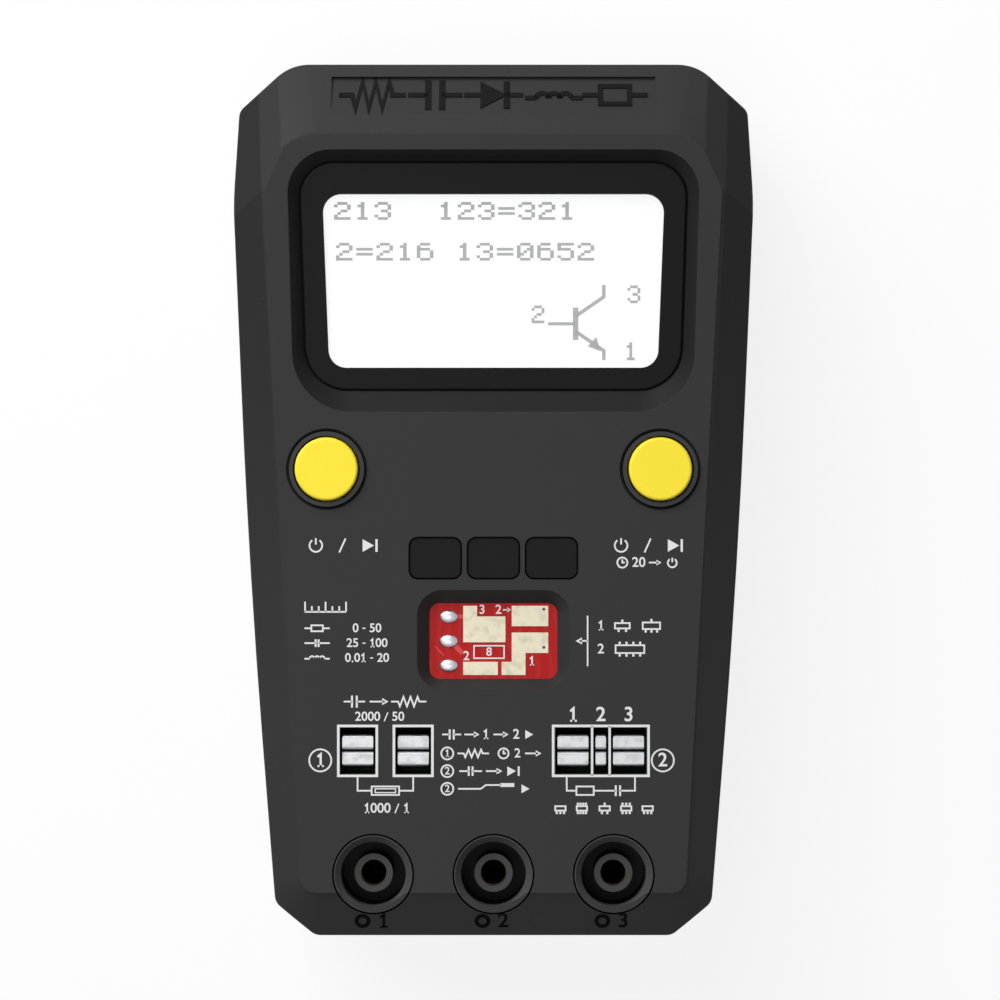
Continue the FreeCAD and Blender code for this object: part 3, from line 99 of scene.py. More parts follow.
class Value:
    """An output socket that takes part in Python expressions."""

    def __init__(self, graph: "Graph", socket: Optional[bpy.types.NodeSocket]) -> None:
        """Wrap a socket.

        Args:
            graph: The graph that owns the socket.
            socket: An output socket, or None for a node that has no outputs.
        """
        self.graph = graph
        self.socket = socket

    def _math(self, operation: str, first: Any, second: Any = 0.0) -> "Value":
        """Add one Math node.

        Args:
            operation: The node's operation.
            first: Value or number.
            second: Value or number.

        Returns:
            The result.
        """
        return self.graph.node("ShaderNodeMath", {"operation": operation}, {0: first, 1: second})

    def __add__(self, other: Any) -> "Value":
        """Sum."""
        return self._math("ADD", self, other)

    def __radd__(self, other: Any) -> "Value":
        """Sum with a number on the left."""
        return self._math("ADD", other, self)

    def __sub__(self, other: Any) -> "Value":
        """Difference."""
        return self._math("SUBTRACT", self, other)

    def __rsub__(self, other: Any) -> "Value":
        """Difference from a number."""
        return self._math("SUBTRACT", other, self)

    def __mul__(self, other: Any) -> "Value":
        """Product."""
        return self._math("MULTIPLY", self, other)

    def __rmul__(self, other: Any) -> "Value":
        """Product with a number on the left."""
        return self._math("MULTIPLY", other, self)

    def __gt__(self, other: Any) -> "Value":
        """One where this is greater, else zero."""
        return self._math("GREATER_THAN", self, other)

    def __lt__(self, other: Any) -> "Value":
        """One where this is smaller, else zero."""
        return self._math("LESS_THAN", self, other)

    def __abs__(self) -> "Value":
        """Size without sign."""
        return self._math("ABSOLUTE", self)

    def __mod__(self, other: Any) -> "Value":
        """Remainder that never is negative."""
        return self._math("FLOORED_MODULO", self, other)

    def __rmod__(self, other: Any) -> "Value":
        """Remainder of a number."""
        return self._math("FLOORED_MODULO", other, self)

    def beside(self, output: str) -> "Value":
        """Another output of the node that this value comes from."""
        return Value(self.graph, self.socket.node.outputs[output])

    def swing(self, amount: float) -> "Value":
        """Zero for one half, and half the amount up or down for one or zero."""
        return (self - 0.5) * amount

    def held(self) -> "Value":
        """This value held between zero and one."""
        return self.graph.node("ShaderNodeClamp", {}, {"Value": self})

    def step(self, low: float, high: float) -> "Value":
        """Rise smoothly from zero at low to one at high.

        Args:
            low: Where the rise starts.
            high: Where it ends.

        Returns:
            The eased value.
        """
        return self.graph.node("ShaderNodeMapRange", {"interpolation_type": "SMOOTHSTEP"},
                               {"Value": self, "From Min": low, "From Max": high})


class Graph:
    """The node tree of one material or world."""

    # Sockets of a Mix node that mixes colours.
    MIX_FACTOR = 0
    MIX_FIRST = 6
    MIX_SECOND = 7
    MIX_RESULT = 2

    def __init__(self, name: str, owners: Optional[Any] = None) -> None:
        """Start an empty tree.

        Args:
            name: Name of the material or world.
            owners: The list of Blender's data that it joins; the materials if left out.
        """
        self.owner = (bpy.data.materials if owners is None else owners).new(name)
        self.owner.use_nodes = True
        self.tree = self.owner.node_tree
        self.tree.nodes.clear()

    def node(self, kind: str, settings: Dict[str, Any], sockets: Dict[Any, Any],
             output: Union[int, str] = 0) -> Value:
        """Create any node.

        Args:
            kind: The node's type.
            settings: Its attributes, which are set first.
            sockets: Values or links of its inputs, by name or number.
            output: Which output to hand back.

        Returns:
            The output as a value.
        """
        made = self.tree.nodes.new(kind)
        for key, setting in settings.items():
            setattr(made, key, setting)
        for key, given in sockets.items():
            if isinstance(given, Value):
                self.tree.links.new(given.socket, made.inputs[key])
            else:
                made.inputs[key].default_value = given
        return Value(self, made.outputs[output] if made.outputs else None)

    def place(self, stretch: Triple = (1.0, 1.0, 1.0)) -> Value:
        """Object coordinates in millimetres.

        Args:
            stretch: Extra factor along each axis.

        Returns:
            The position as a vector.
        """
        spot = self.node("ShaderNodeTexCoord", {}, {}, "Object")
        factor = tuple(part / MM for part in stretch)
        return self.node("ShaderNodeVectorMath", {"operation": "MULTIPLY"}, {0: spot, 1: factor})

    def axes(self, spot: Value) -> Tuple[Value, Value, Value]:
        """Split a position into its three lengths."""
        across = self.node("ShaderNodeSeparateXYZ", {}, {0: spot}, "X")
        return across, across.beside("Y"), across.beside("Z")

    def noise(self, spot: Value, scale: float, detail: float = 2.0,
              roughness: float = 0.5) -> Value:
        """Noise between zero and one.

        Args:
            spot: Where to look it up.
            scale: Grains per millimetre.
            detail: Octaves.
            roughness: Share of the small octaves.

        Returns:
            The noise.
        """
        return self.node("ShaderNodeTexNoise", {}, {"Vector": spot, "Scale": scale,
                                                    "Detail": detail, "Roughness": roughness})

    def cells(self, spot: Value, scale: float) -> Value:
        """Distance to the nearest of scattered points."""
        return self.node("ShaderNodeTexVoronoi", {}, {"Vector": spot, "Scale": scale})

    def shade(self, colour: Any, tone: Any) -> Value:
        """A colour made lighter or darker.

        Args:
            colour: Colour or value.
            tone: Factor.

        Returns:
            The colour.
        """
        return self.node("ShaderNodeVectorMath", {"operation": "SCALE"},
                         {0: colour, "Scale": tone})

    def blend(self, factor: Any, first: Any, second: Any) -> Value:
        """Mix two colours.

        Args:
            factor: Share of the second.
            first: Colour or value.
            second: Colour or value.

        Returns:
            The mixed colour.
        """
        start, end = (part if isinstance(part, Value) else (*part, 1.0)
                      for part in (first, second))
        return self.node("ShaderNodeMix", {"data_type": "RGBA"},
                         {self.MIX_FACTOR: factor, self.MIX_FIRST: start, self.MIX_SECOND: end},
                         self.MIX_RESULT)

    def bump(self, height: Value, depth: float, strength: float = 1.0) -> Value:
        """A normal from a height map.

        Args:
            height: Height between zero and one.
            depth: What one means, in millimetres.
            strength: Share of the effect.

        Returns:
            The normal.
        """
        return self.node("ShaderNodeBump", {}, {"Height": height, "Distance": depth * MM,
                                                "Strength": strength})

    def seen(self) -> Value:
        """Tell rays of the eye, straight, mirrored or through glass, from rays of light.

        Returns:
            One for rays of the eye, else zero.
        """
        straight = self.node("ShaderNodeLightPath", {}, {}, "Is Camera Ray")
        mirrored, through = straight.beside("Is Glossy Ray"), straight.beside("Is Transmission Ray")
        return (straight + mirrored + through).held()

    def surface(self, **sockets: Any) -> bpy.types.Material:
        """Close the tree with one Principled shader.

        Args:
            sockets: Inputs by name, with underscores for spaces.

        Returns:
            The finished material.
        """
        named = {key.replace("_", " "): part for key, part in sockets.items()}
        for key, part in named.items():
            if key.endswith("Color") and isinstance(part, tuple) and len(part) == 3:
                named[key] = (*part, 1.0)
        shader = self.node("ShaderNodeBsdfPrincipled", {}, named)
        self.node("ShaderNodeOutputMaterial", {}, {"Surface": shader})
        return self.owner


class Finish:
    """A surface that builds its material once."""

    made: ClassVar[Dict[str, bpy.types.Material]] = {}
    name: str

    def build(self) -> bpy.types.Material:
        """Make the material."""
        raise NotImplementedError

    def material(self) -> bpy.types.Material:
        """The material, made on first use."""
        if self.name not in Finish.made:
            Finish.made[self.name] = self.build()
        return Finish.made[self.name]


@dataclass(frozen=True)
class MouldedPlastic(Finish):
    """Injection moulded plastic with a fine eroded grain and light handling marks."""

    name: str
    colour: Colour
    roughness: float = 0.5
    grain: float = 3.0
    depth: float = 0.02
    mottle: float = 0.08
    specular: float = 0.5
    dust: float = 0.0

    def zone(self, g: Graph, spot: Value) -> Any:
        """Tone of the moulding by place; plain plastic is even.

        Args:
            g: The graph.
            spot: Position in millimetres.

        Returns:
            A factor for the colour.
        """
        return 1.0

    def build(self) -> bpy.types.Material:
        """Grain, broad mottling, faint scuffs and a few specks of dust.

        Returns:
            The material.
        """
        g = Graph(self.name)
        spot = g.place()
        fine = g.noise(spot, scale=self.grain, roughness=0.6)
        broad = g.noise(spot, scale=0.05, detail=3.0)
        drawn = g.place(stretch=(0.25, 1.6, 1.0))
        scuff = g.noise(drawn, scale=0.9, detail=4.0, roughness=0.7).step(0.62, 0.8)
        thick = g.noise(spot, scale=0.2).step(0.5, 0.7)
        specks = g.cells(spot, scale=0.7).step(0.09, 0.03) * thick
        tone = 1.0 + broad.swing(self.mottle * 2.0) + fine.swing(self.mottle)
        tone = tone * self.zone(g, spot)
        colour = g.blend(specks * self.dust, g.shade(self.colour, tone), DUST)
        rough = self.roughness + fine.swing(0.1) + broad.swing(0.08) - scuff * 0.05
        return g.surface(Base_Color=colour, Roughness=rough.held(),
                         Normal=g.bump(fine, self.depth, 0.6), Specular_IOR_Level=self.specular)


@dataclass(frozen=True)
class CasePlastic(MouldedPlastic):
    """Case plastic with painted shade in the display recess and on the flanks towards the head."""

    recess_x: float = 33.2
    recess_y: Tuple[float, float] = (13.5, 55.7)
    recess_z: Tuple[float, float] = (30.0, 37.96)
    # Share of the tone left in the display recess: painted shade.
    recess_tone: float = 0.45
    flank_x: float = 33.9
    flank_edge: float = 0.6
    flank_lean: float = 0.052
    flank_fade: Tuple[float, float] = (-45.0, 45.0)
    # Share of the tone taken off the flanks beside the head: painted shade.
    flank_loss: float = 0.4

    def zone(self, g: Graph, spot: Value) -> Any:
        """Painted shade: darker in the display recess and beside the head of the panel.

        Args:
            g: The graph.
            spot: Position in millimetres.

        Returns:
            A factor for the colour.
        """
        across, along, up = g.axes(spot)
        # Painted shade: the display recess is darkened to a fixed share of the tone.
        recess_shade_mask = ((abs(across) < self.recess_x) * (along > self.recess_y[0])
                  * (along < self.recess_y[1]) * (up > self.recess_z[0]) * (up < self.recess_z[1]))
        # Painted shade on the flanks beside the head, fading out along the case.
        outward = abs(across) - along * self.flank_lean
        flank_shade_mask = outward.step(self.flank_x, self.flank_x + self.flank_edge)
        flank_shade_amount = flank_shade_mask * along.step(*self.flank_fade) * self.flank_loss
        return (1.0 - recess_shade_mask * (1.0 - self.recess_tone)) * (1.0 - flank_shade_amount)


@dataclass(frozen=True)
class JackPlastic(MouldedPlastic):
    """Socket plastic with a painted highlight round its mouth and painted shade deep in the socket.
    """

    rim: Tuple[float, float] = (35.2, 35.8)
    well: Tuple[float, float] = (33.4, 34.3)
    rim_tone: float = 1.05
    well_tone: float = 0.08

    def zone(self, g: Graph, spot: Value) -> Any:
        """A painted highlight round the mouth and painted shade deep in the socket.

        Args:
            g: The graph.
            spot: Position in millimetres.

        Returns:
            A factor for the colour.
        """
        _, _, up = g.axes(spot)
        # Painted highlight round the mouth of the socket and painted shade further down in it.
        rim = up.step(*self.rim)
        well = up.step(*reversed(self.well))
        return 1.0 - rim * (1.0 - self.rim_tone) - well * (1.0 - self.well_tone)


@dataclass(frozen=True)
class PlatedMetal(Finish):
    """Plated or brushed metal with fine lines along one axis and light stains."""

    name: str
    colour: Colour
    roughness: float = 0.3
    lines: Triple = (0.6, 9.0, 9.0)
    stain: float = 0.12
    depth: float = 0.006
    bright_from: float = -1.0
    bright_edge: float = 0.2
    tarnish: float = 0.96

    def build(self) -> bpy.types.Material:
        """Brushed lines, dull stains and small pits, and painted shade below a given height.

        Returns:
            The material.
        """
        g = Graph(self.name)
        spot = g.place()
        brushed = g.noise(g.place(self.lines), scale=1.0, detail=3.0, roughness=0.6)
        dull = g.noise(spot, scale=0.7, detail=3.0).step(0.45, 0.75)
        pits = g.cells(spot, scale=2.4).step(0.16, 0.04)
        _, _, up = g.axes(spot)
        # Painted shade: below the given height the metal sits down in the clip's slot and is
        # darkened.
        lit_share = up.step(self.bright_from - self.bright_edge, self.bright_from)
        tone = 1.0 - dull * self.stain + brushed.swing(0.16) - pits * 0.05
        tone = tone * (1.0 - self.tarnish + lit_share * self.tarnish)
        rough = self.roughness + dull * 0.14 + brushed.swing(0.18)
        return g.surface(Base_Color=g.shade(self.colour, tone), Metallic=1.0,
                         Roughness=rough.held(), Normal=g.bump(brushed, self.depth, 0.5))


@dataclass(frozen=True)
class SolderMask(Finish):
    """A lacquered circuit board with faint copper runs under the lacquer."""

    name: str
    colour: Colour
    pitch: float = 1.9

    def build(self) -> bpy.types.Material:
        """Copper runs, weave of the laminate and a glossy lacquer.

        Returns:
            The material.
        """
        g = Graph(self.name)
        spot = g.place()
        across, along, _ = g.axes(spot)
        bend = g.noise(spot, scale=0.12, detail=1.0) * 4.0
        runs = abs((across + bend) % self.pitch - self.pitch / 2.0).step(0.34, 0.26)
        weft, warp = (g.noise(g.place(stretch), scale=1.0)
                      for stretch in ((6.0, 1.0, 1.0), (1.0, 6.0, 1.0)))
        grit = g.noise(spot, scale=5.0)
        tone = 0.95 + runs * 0.07 + weft.swing(0.14) + warp.swing(0.14) + grit.swing(0.1)
        streak = g.noise(along * 0.4, scale=1.0)
        return g.surface(Base_Color=g.shade(self.colour, tone),
                         Roughness=(0.3 + grit.swing(0.1) + streak * 0.06).held(),
                         Coat_Weight=(0.03 + runs * 0.03).held(), Coat_Roughness=0.2,
                         Specular_IOR_Level=0.07,
                         Normal=g.bump(runs + grit * 0.3, 0.015, 0.5))


@dataclass(frozen=True)
class PrintedInk(Finish):
    """Screen printed ink with a slightly open edge."""

    name: str
    colour: Colour
    roughness: float = 0.55

    def build(self) -> bpy.types.Material:
        """Uneven cover of the ink.

        Returns:
            The material.
        """
        g = Graph(self.name)
        spot = g.place()
        cover = g.noise(spot, scale=4.0, detail=3.0, roughness=0.7)
        worn = g.noise(spot, scale=0.5).step(0.6, 0.85)
        tone = 0.96 + cover.swing(0.16) - worn * 0.1
        return g.surface(Base_Color=g.shade(self.colour, tone),
                         Roughness=(self.roughness + cover.swing(0.2)).held(),
                         Normal=g.bump(cover, 0.01, 0.4))


@dataclass(frozen=True)
class ClearSheet(Finish):
    """Clear acrylic that lets the display through."""

    name: str
    cover: float = 0.05

    def build(self) -> bpy.types.Material:
        """A see-through sheet with faint smears.

        Returns:
            The material.
        """
        g = Graph(self.name)
        wiped = g.place(stretch=(0.1, 0.3, 1.0))
        smear = g.noise(wiped, scale=1.0, detail=3.0).step(0.4, 0.8)
        return g.surface(Base_Color=(0.9, 0.93, 0.95), Alpha=self.cover + smear * 0.015,
                         Roughness=0.05 + smear * 0.08)


@dataclass(frozen=True)
class LitDisplay(Finish):
    """Backlit display glass with a faint cell grid."""

    name: str
    glow: float = 0.95
    pitch: float = 0.42

    def build(self) -> bpy.types.Material:
        """Nearly even light with the grid of cells.

        Returns:
            The material.
        """
        g = Graph(self.name)
        spot = g.place()
        across, along, _ = g.axes(spot)
        grid = [abs(part % self.pitch - self.pitch / 2.0).step(0.16, 0.21)
                for part in (across, along)]
        lines = (grid[0] + grid[1]).held()
        cloud = g.noise(spot, scale=0.04)
        tone = 1.0 - lines * 0.025 + cloud.swing(0.04)
        light = g.shade((self.glow, self.glow, self.glow), tone)
        return g.surface(Base_Color=(0.05, 0.05, 0.05), Roughness=0.2 + lines * 0.1,
                         Emission_Color=light, Emission_Strength=1.0)


@dataclass(frozen=True)
class DisplayCell(Finish):
    """A darkened cell of the lit display."""

    name: str
    glow: float = 0.31

    def build(self) -> bpy.types.Material:
        """Half dark light with slight differences from cell to cell.

        Returns:
            The material.
        """
        g = Graph(self.name)
        cloud = g.noise(g.place(), scale=1.1)
        light = g.shade((self.glow, self.glow, self.glow), 0.9 + cloud * 0.2)
        return g.surface(Base_Color=(0.03, 0.03, 0.03), Roughness=0.4, Emission_Color=light,
                         Emission_Strength=1.0)


@dataclass(frozen=True)
class SoftSkin(Finish):
    """Rubbery or foamed material with open pores."""

    name: str
    colour: Colour
    roughness: float = 0.8
    pore: float = 2.0
    depth: float = 0.1

    def build(self) -> bpy.types.Material:
        """Pores and a dusty bloom.

        Returns:
            The material.
        """
        g = Graph(self.name)
        spot = g.place()
        pores = g.cells(spot, self.pore)
        bloom = g.noise(spot, scale=0.4, detail=3.0)
        return g.surface(Base_Color=g.shade(self.colour, 0.8 + pores * 0.3 + bloom * 0.2),
                         Roughness=(self.roughness + bloom.swing(0.2)).held(),
                         Normal=g.bump(pores, self.depth, 0.6))


@dataclass(frozen=True)
class BatteryWrap(Finish):
    """A lacquered battery jacket with a plain band at one end."""

    name: str
    colour: Colour
    band: Colour
    band_start: float = 4.0
    band_edge: float = 0.1

    def build(self) -> bpy.types.Material:
        """Two plain colours with a crisp edge between them, and light rubbing.

        Returns:
            The material.
        """
        g = Graph(self.name)
        spot = g.place()
        across, _, _ = g.axes(spot)
        share = across.step(self.band_start - self.band_edge, self.band_start + self.band_edge)
        rub = g.noise(spot, scale=0.6, detail=4.0, roughness=0.7).step(0.6, 0.8)
        colour = g.shade(g.blend(share, self.colour, self.band), 1.0 - rub * 0.2)
        return g.surface(Base_Color=colour, Roughness=0.35 + rub * 0.2,
                         Metallic=(share * 0.6).held())


# Case plastic with painted shade in the display recess and on the head flanks.
CASE = CasePlastic("case_plastic", (0.031, 0.031, 0.0316), roughness=0.44, grain=2.6, mottle=0.06,
                   specular=0.08, dust=0.1)
BEZEL = MouldedPlastic("bezel_plastic", (0.0032, 0.0032, 0.0033), grain=4.0, depth=0.012,
                       mottle=0.05, specular=0.084, dust=0.05)
BLACK = MouldedPlastic("black_plastic", (0.004, 0.004, 0.0042), grain=3.4, depth=0.015, mottle=0.06,
                       specular=0.08)
COLLAR = MouldedPlastic("collar_plastic", (0.03, 0.03, 0.031), roughness=0.46, grain=3.4,
                        depth=0.012, mottle=0.05, specular=0.14)
KEY = MouldedPlastic("key_plastic", (0.0045, 0.0045, 0.0047), roughness=0.48, grain=4.0, depth=0.01,
                     mottle=0.05, specular=0.086, dust=0.05)
# Socket plastic with a painted highlight round the mouth and painted shade deep down.
SOCKET = JackPlastic("socket_plastic", (0.057, 0.057, 0.0576), grain=3.2, depth=0.015, mottle=0.06,
                     specular=0.09)
YELLOW = MouldedPlastic("yellow_plastic", (0.97, 0.78, 0.043), roughness=0.38, depth=0.012,
                        mottle=0.04, specular=0.14)
CHIP = MouldedPlastic("chip_plastic", (0.015, 0.015, 0.016), roughness=0.6, grain=5.0, mottle=0.1,
                      specular=0.4)
# Painted shade: a near-black finish for the raised tablet symbols, standing in for the shade of
# moulded lettering.
TABLET_SHADE = MouldedPlastic("tablet_symbol_shade", (0.006, 0.006, 0.0062), depth=0.015, mottle=0.05,
                        specular=0.06)
# Painted shade: a near-black finish for the jack marks, standing in for the shade in engraved
# figures.
ENGRAVING_SHADE = MouldedPlastic("engraving_shade", (0.0015, 0.0015, 0.0015), roughness=0.6, depth=0.015,
                          mottle=0.05, specular=0.03)
CERAMIC = MouldedPlastic("ceramic_body", (0.62, 0.58, 0.5), roughness=0.7, depth=0.03, mottle=0.12,
                         specular=0.4)
LIGHT_GUIDE = MouldedPlastic("light_guide", (0.85, 0.87, 0.9), roughness=0.35, grain=2.0,
                             depth=0.01, mottle=0.03)
# Clip metal with painted shade below 36.75 mm, where the leaves go down into their slots.
CLIP = PlatedMetal("clip_plate", (0.33, 0.333, 0.345), roughness=0.42, stain=0.05,
                   bright_from=36.75)
GOLD = PlatedMetal("gold_plate", (0.37, 0.345, 0.262), roughness=0.44, lines=(2.0, 2.0, 2.0),
                   stain=0.015)
SOLDER = PlatedMetal("solder_metal", (0.42, 0.405, 0.44), roughness=0.36, lines=(3.0, 3.0, 3.0),
                     stain=0.1, depth=0.03)
TIN = PlatedMetal("tinned_wire", (0.7, 0.7, 0.71), lines=(9.0, 9.0, 0.6))
BRASS = PlatedMetal("tarnished_brass", (0.05, 0.042, 0.03), roughness=0.42, lines=(1.0, 1.0, 8.0),
                    stain=0.3)
ZINC = PlatedMetal("zinc_screw", (0.45, 0.45, 0.47), roughness=0.34, lines=(3.0, 3.0, 6.0),
                   stain=0.2)
CAN = PlatedMetal("drawn_can", (0.68, 0.68, 0.7), roughness=0.28, lines=(6.0, 6.0, 0.8))
RED_BOARD = SolderMask("red_board", (0.44, 0.008, 0.0092))
RED_TRACE = SolderMask("red_trace", (0.72, 0.07, 0.07), pitch=3.1)
GREEN_BOARD = SolderMask("green_board", (0.005, 0.04, 0.015))
WHITE_INK = PrintedInk("white_ink", (0.78, 0.78, 0.78))
DARK_INK = PrintedInk("dark_ink", (0.02, 0.02, 0.02))
LENS = ClearSheet("clear_lens")
DISPLAY = LitDisplay("display_light")
CELL = DisplayCell("display_cell")
FOAM = SoftSkin("foam_pad", (0.03, 0.03, 0.032))
RED_LEAD = SoftSkin("red_lead", (0.45, 0.02, 0.02), roughness=0.5, pore=1.0, depth=0.02)
BLACK_LEAD = SoftSkin("black_lead", (0.02, 0.02, 0.02), roughness=0.5, pore=1.0, depth=0.02)
BATTERY = BatteryWrap("battery_wrap", (0.03, 0.03, 0.035), band=(0.5, 0.27, 0.1))


@dataclass(frozen=True)
class Sheet:
    """A flat place to draw on: an origin, two directions in it and a lift off it."""

    origin: Triple
    along: Triple = (1.0, 0.0, 0.0)
    up: Triple = (0.0, 1.0, 0.0)
    lift: float = 0.004
    thickness: float = 0.03

    def matrix(self) -> Matrix:
        """From drawing millimetres to the frame's metres.

        Returns:
            The transform.
        """
        along, up = Vector(self.along).normalized(), Vector(self.up).normalized()
        out = along.cross(up)
        turn = Matrix((along, up, out)).transposed().to_4x4()
        start = Vector(self.origin) + out * self.lift
        return Matrix.Scale(MM, 4) @ Matrix.Translation(start) @ turn


class Pen:
    """Draws thin raised shapes on a sheet and turns them into one piece."""

    ARC_STEP = 9.0
    LEAST_STEPS = 6
    DISC_SIDES = 24
    SHARPEST_MITRE = 0.35
    FACE_HEIGHT = 0.69
    FACE_SWELL = 0.014
    CORNERS = ((-1, -1), (1, -1), (1, 1), (-1, 1))

    # Shares of a figure's height: advances, then strokes with their widths, then bars.
    PLAIN_ADVANCE = 0.72
    ADVANCE = {".": 0.36, " ": 0.34, "-": 0.56, "/": 0.6}
    STROKES = {
        "1": (((-0.2, 0.26), (0.03, 0.46), (0.03, -0.5)), 0.17),
        "/": (((-0.2, -0.5), (0.2, 0.5)), 0.13),
    }
    BARS = {
        "1": ((0.03, -0.43), 0.48, 0.14),
        ".": ((0.0, -0.41), 0.18, 0.18),
        "-": ((0.0, 0.0), 0.36, 0.14),
    }

    def __init__(self, sheet: Sheet) -> None:
        """Start with an empty drawing.

        Args:
            sheet: Where the shapes lie.
        """
        self.sheet = sheet
        self.mesh = bmesh.new()

    def area(self, outline: Sequence[Point]) -> None:
        """A filled shape.

        Args:
            outline: Its corners, anticlockwise.
        """
        rings = [[self.mesh.verts.new((x, y, z)) for x, y in outline]
                 for z in (0.0, self.sheet.thickness)]
        self.mesh.faces.new(list(reversed(rings[0])))
        self.mesh.faces.new(rings[1])
        self._walls(rings[0], rings[1])

    def _walls(self, low: List[Any], high: List[Any]) -> None:
        """Side faces between two rings of vertices.

        Args:
            low: Lower ring.
            high: Upper ring.
        """
        for i in range(len(low)):
            j = (i + 1) % len(low)
            self.mesh.faces.new((low[i], low[j], high[j], high[i]))

    def stroke(self, points: Sequence[Point], width: float, closed: bool = False) -> None:
        """A line of even width with mitred bends.

        Args:
            points: Its middle line.
            width: Its width.
            closed: Whether it returns to its start.
        """
        spots = [Vector(point) for point in points]
        count = len(spots)
        left: List[Point] = []
        right: List[Point] = []
        for i, spot in enumerate(spots):
            before = spots[i - 1] if closed or i else None
            after = spots[(i + 1) % count] if closed or i < count - 1 else None
            ways = [(b - a).normalized() for a, b in ((before, spot), (spot, after))
                    if a is not None and b is not None]
            normals = [Vector((-way.y, way.x)) for way in ways]
            mitre = sum(normals, Vector((0.0, 0.0))).normalized()
            reach = width / 2.0 / max(self.SHARPEST_MITRE, mitre.dot(normals[0]))
            left.append(tuple(spot + mitre * reach))
            right.append(tuple(spot - mitre * reach))
        steps = range(count if closed else count - 1)
        corners = [[self.mesh.verts.new((*side[i], z)) for i in range(count)]
                   for z in (0.0, self.sheet.thickness) for side in (left, right)]
        low_left, low_right, high_left, high_right = corners
        for i in steps:
            j = (i + 1) % count
            self.mesh.faces.new((high_right[i], high_right[j], high_left[j], high_left[i]))
            self.mesh.faces.new((low_left[i], low_left[j], low_right[j], low_right[i]))
            self.mesh.faces.new((high_left[i], high_left[j], low_left[j], low_left[i]))
            self.mesh.faces.new((low_right[i], low_right[j], high_right[j], high_right[i]))
        if not closed:
            for i, flip in ((0, False), (count - 1, True)):
                ring = [low_left[i], low_right[i], high_right[i], high_left[i]]
                self.mesh.faces.new(list(reversed(ring)) if flip else ring)

    def arc(self, centre: Point, radius: float, width: float, start: float, end: float) -> None:
        """Part of a circle line.

        Args:
            centre: Its centre.
            radius: Radius of its middle line.
            width: Width of the line.
            start: First angle in degrees.
            end: Last angle in degrees.
        """
        whole = abs(end - start) >= 360.0
        count = max(self.LEAST_STEPS, int(abs(end - start) / self.ARC_STEP))
        angles = [start + (end - start) * i / count for i in range(count if whole else count + 1)]
        self.stroke(self._round(centre, radius, angles), width, whole)

    def disc(self, centre: Point, radius: float) -> None:
        """A filled circle."""
        angles = [360.0 * i / self.DISC_SIDES for i in range(self.DISC_SIDES)]
        self.area(self._round(centre, radius, angles))

    @staticmethod
    def _round(centre: Point, radius: float, angles: Sequence[float]) -> List[Point]:
        """Points on a circle.

        Args:
            centre: Its centre.
            radius: Its radius.
            angles: Where the points lie, in degrees.

        Returns:
            The points in the order of the angles.
        """
        turns = [math.radians(angle) for angle in angles]
        return [(centre[0] + radius * math.cos(turn), centre[1] + radius * math.sin(turn))
                for turn in turns]

    def _corners(self, centre: Point, width: float, height: float) -> List[Point]:
        """Corners of an upright rectangle, anticlockwise."""
        return [(centre[0] + i * width / 2.0, centre[1] + j * height / 2.0)
                for i, j in self.CORNERS]

    def bar(self, centre: Point, width: float, height: float) -> None:
        """A filled upright rectangle."""
        self.area(self._corners(centre, width, height))

    def frame(self, centre: Point, width: float, height: float, line: float) -> None:
        """A rectangular outline measured over its outside.

        Args:
            centre: Its centre.
            width: Outer width.
            height: Outer height.
            line: Width of the line.
        """
        self.stroke(self._corners(centre, width - line, height - line), line, True)

    def digits(self, figures: str, centre: Point, height: float) -> None:
        """A line of plain figures.

        Args:
            figures: What to write: digits and signs.
            centre: Middle of the line.
            height: Height of a figure.
        """
        steps = [self.ADVANCE.get(figure, self.PLAIN_ADVANCE) * height for figure in figures]
        x, y = centre[0] - sum(steps) / 2.0, centre[1]
        for figure, step in zip(figures, steps):
            x += step / 2.0
            if figure in self.STROKES or figure in self.BARS:
                self.drawn(figure, (x, y), height)
            elif figure != " ":
                self.figure(figure, (x, y), height)
            x += step / 2.0

    def drawn(self, figure: str, centre: Point, height: float) -> None:
        """One figure or sign made of a stroke, a bar or both.

        Args:
            figure: The figure or sign.
            centre: Its middle.
            height: Height of a figure.
        """
        x, y = centre
        if figure in self.STROKES:
            points, width = self.STROKES[figure]
            self.stroke([(x + i * height, y + j * height) for i, j in points], width * height)
        if figure in self.BARS:
            (i, j), width, tall = self.BARS[figure]
            self.bar((x + i * height, y + j * height), width * height, tall * height)

    def figure(self, figure: str, centre: Point, height: float) -> None:
        """One figure from the plain face.

        Args:
            figure: A digit.
            centre: Its middle.
            height: Its height.
        """
        curve = bpy.data.curves.new("figures", "FONT")
        curve.body = figure
        curve.align_x, curve.align_y = "CENTER", "CENTER"
        curve.offset = self.FACE_SWELL
        scale = height / self.FACE_HEIGHT
        curve.extrude = self.sheet.thickness / 2.0 / scale
        holder = bpy.data.objects.new("figures", curve)
        bpy.context.scene.collection.objects.link(holder)
        graph = bpy.context.evaluated_depsgraph_get()
        shape = bpy.data.meshes.new_from_object(holder.evaluated_get(graph))
        lift = self.sheet.thickness / 2.0
        shape.transform(Matrix.Translation((centre[0], centre[1], lift)) @ Matrix.Scale(scale, 4))
        self.mesh.from_mesh(shape)
        bpy.data.objects.remove(holder)
        bpy.data.curves.remove(curve)
        bpy.data.meshes.remove(shape)

    def piece(self, name: str, finish: Finish) -> None:
        """Turn the drawing into an object that rides on the case.

        Args:
            name: Name of the piece.
            finish: Its finish.
        """
        bmesh.ops.recalc_face_normals(self.mesh, faces=self.mesh.faces)
        data = bpy.data.meshes.new(name)
        self.mesh.to_mesh(data)
        self.mesh.free()
        data.transform(self.sheet.matrix())
        data.materials.append(finish.material())
        item = bpy.data.objects.new(name, data)
        bpy.context.scene.collection.objects.link(item)
        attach(item, CASE_BODY)
        log.info("made %s with %d faces", name, len(data.polygons))


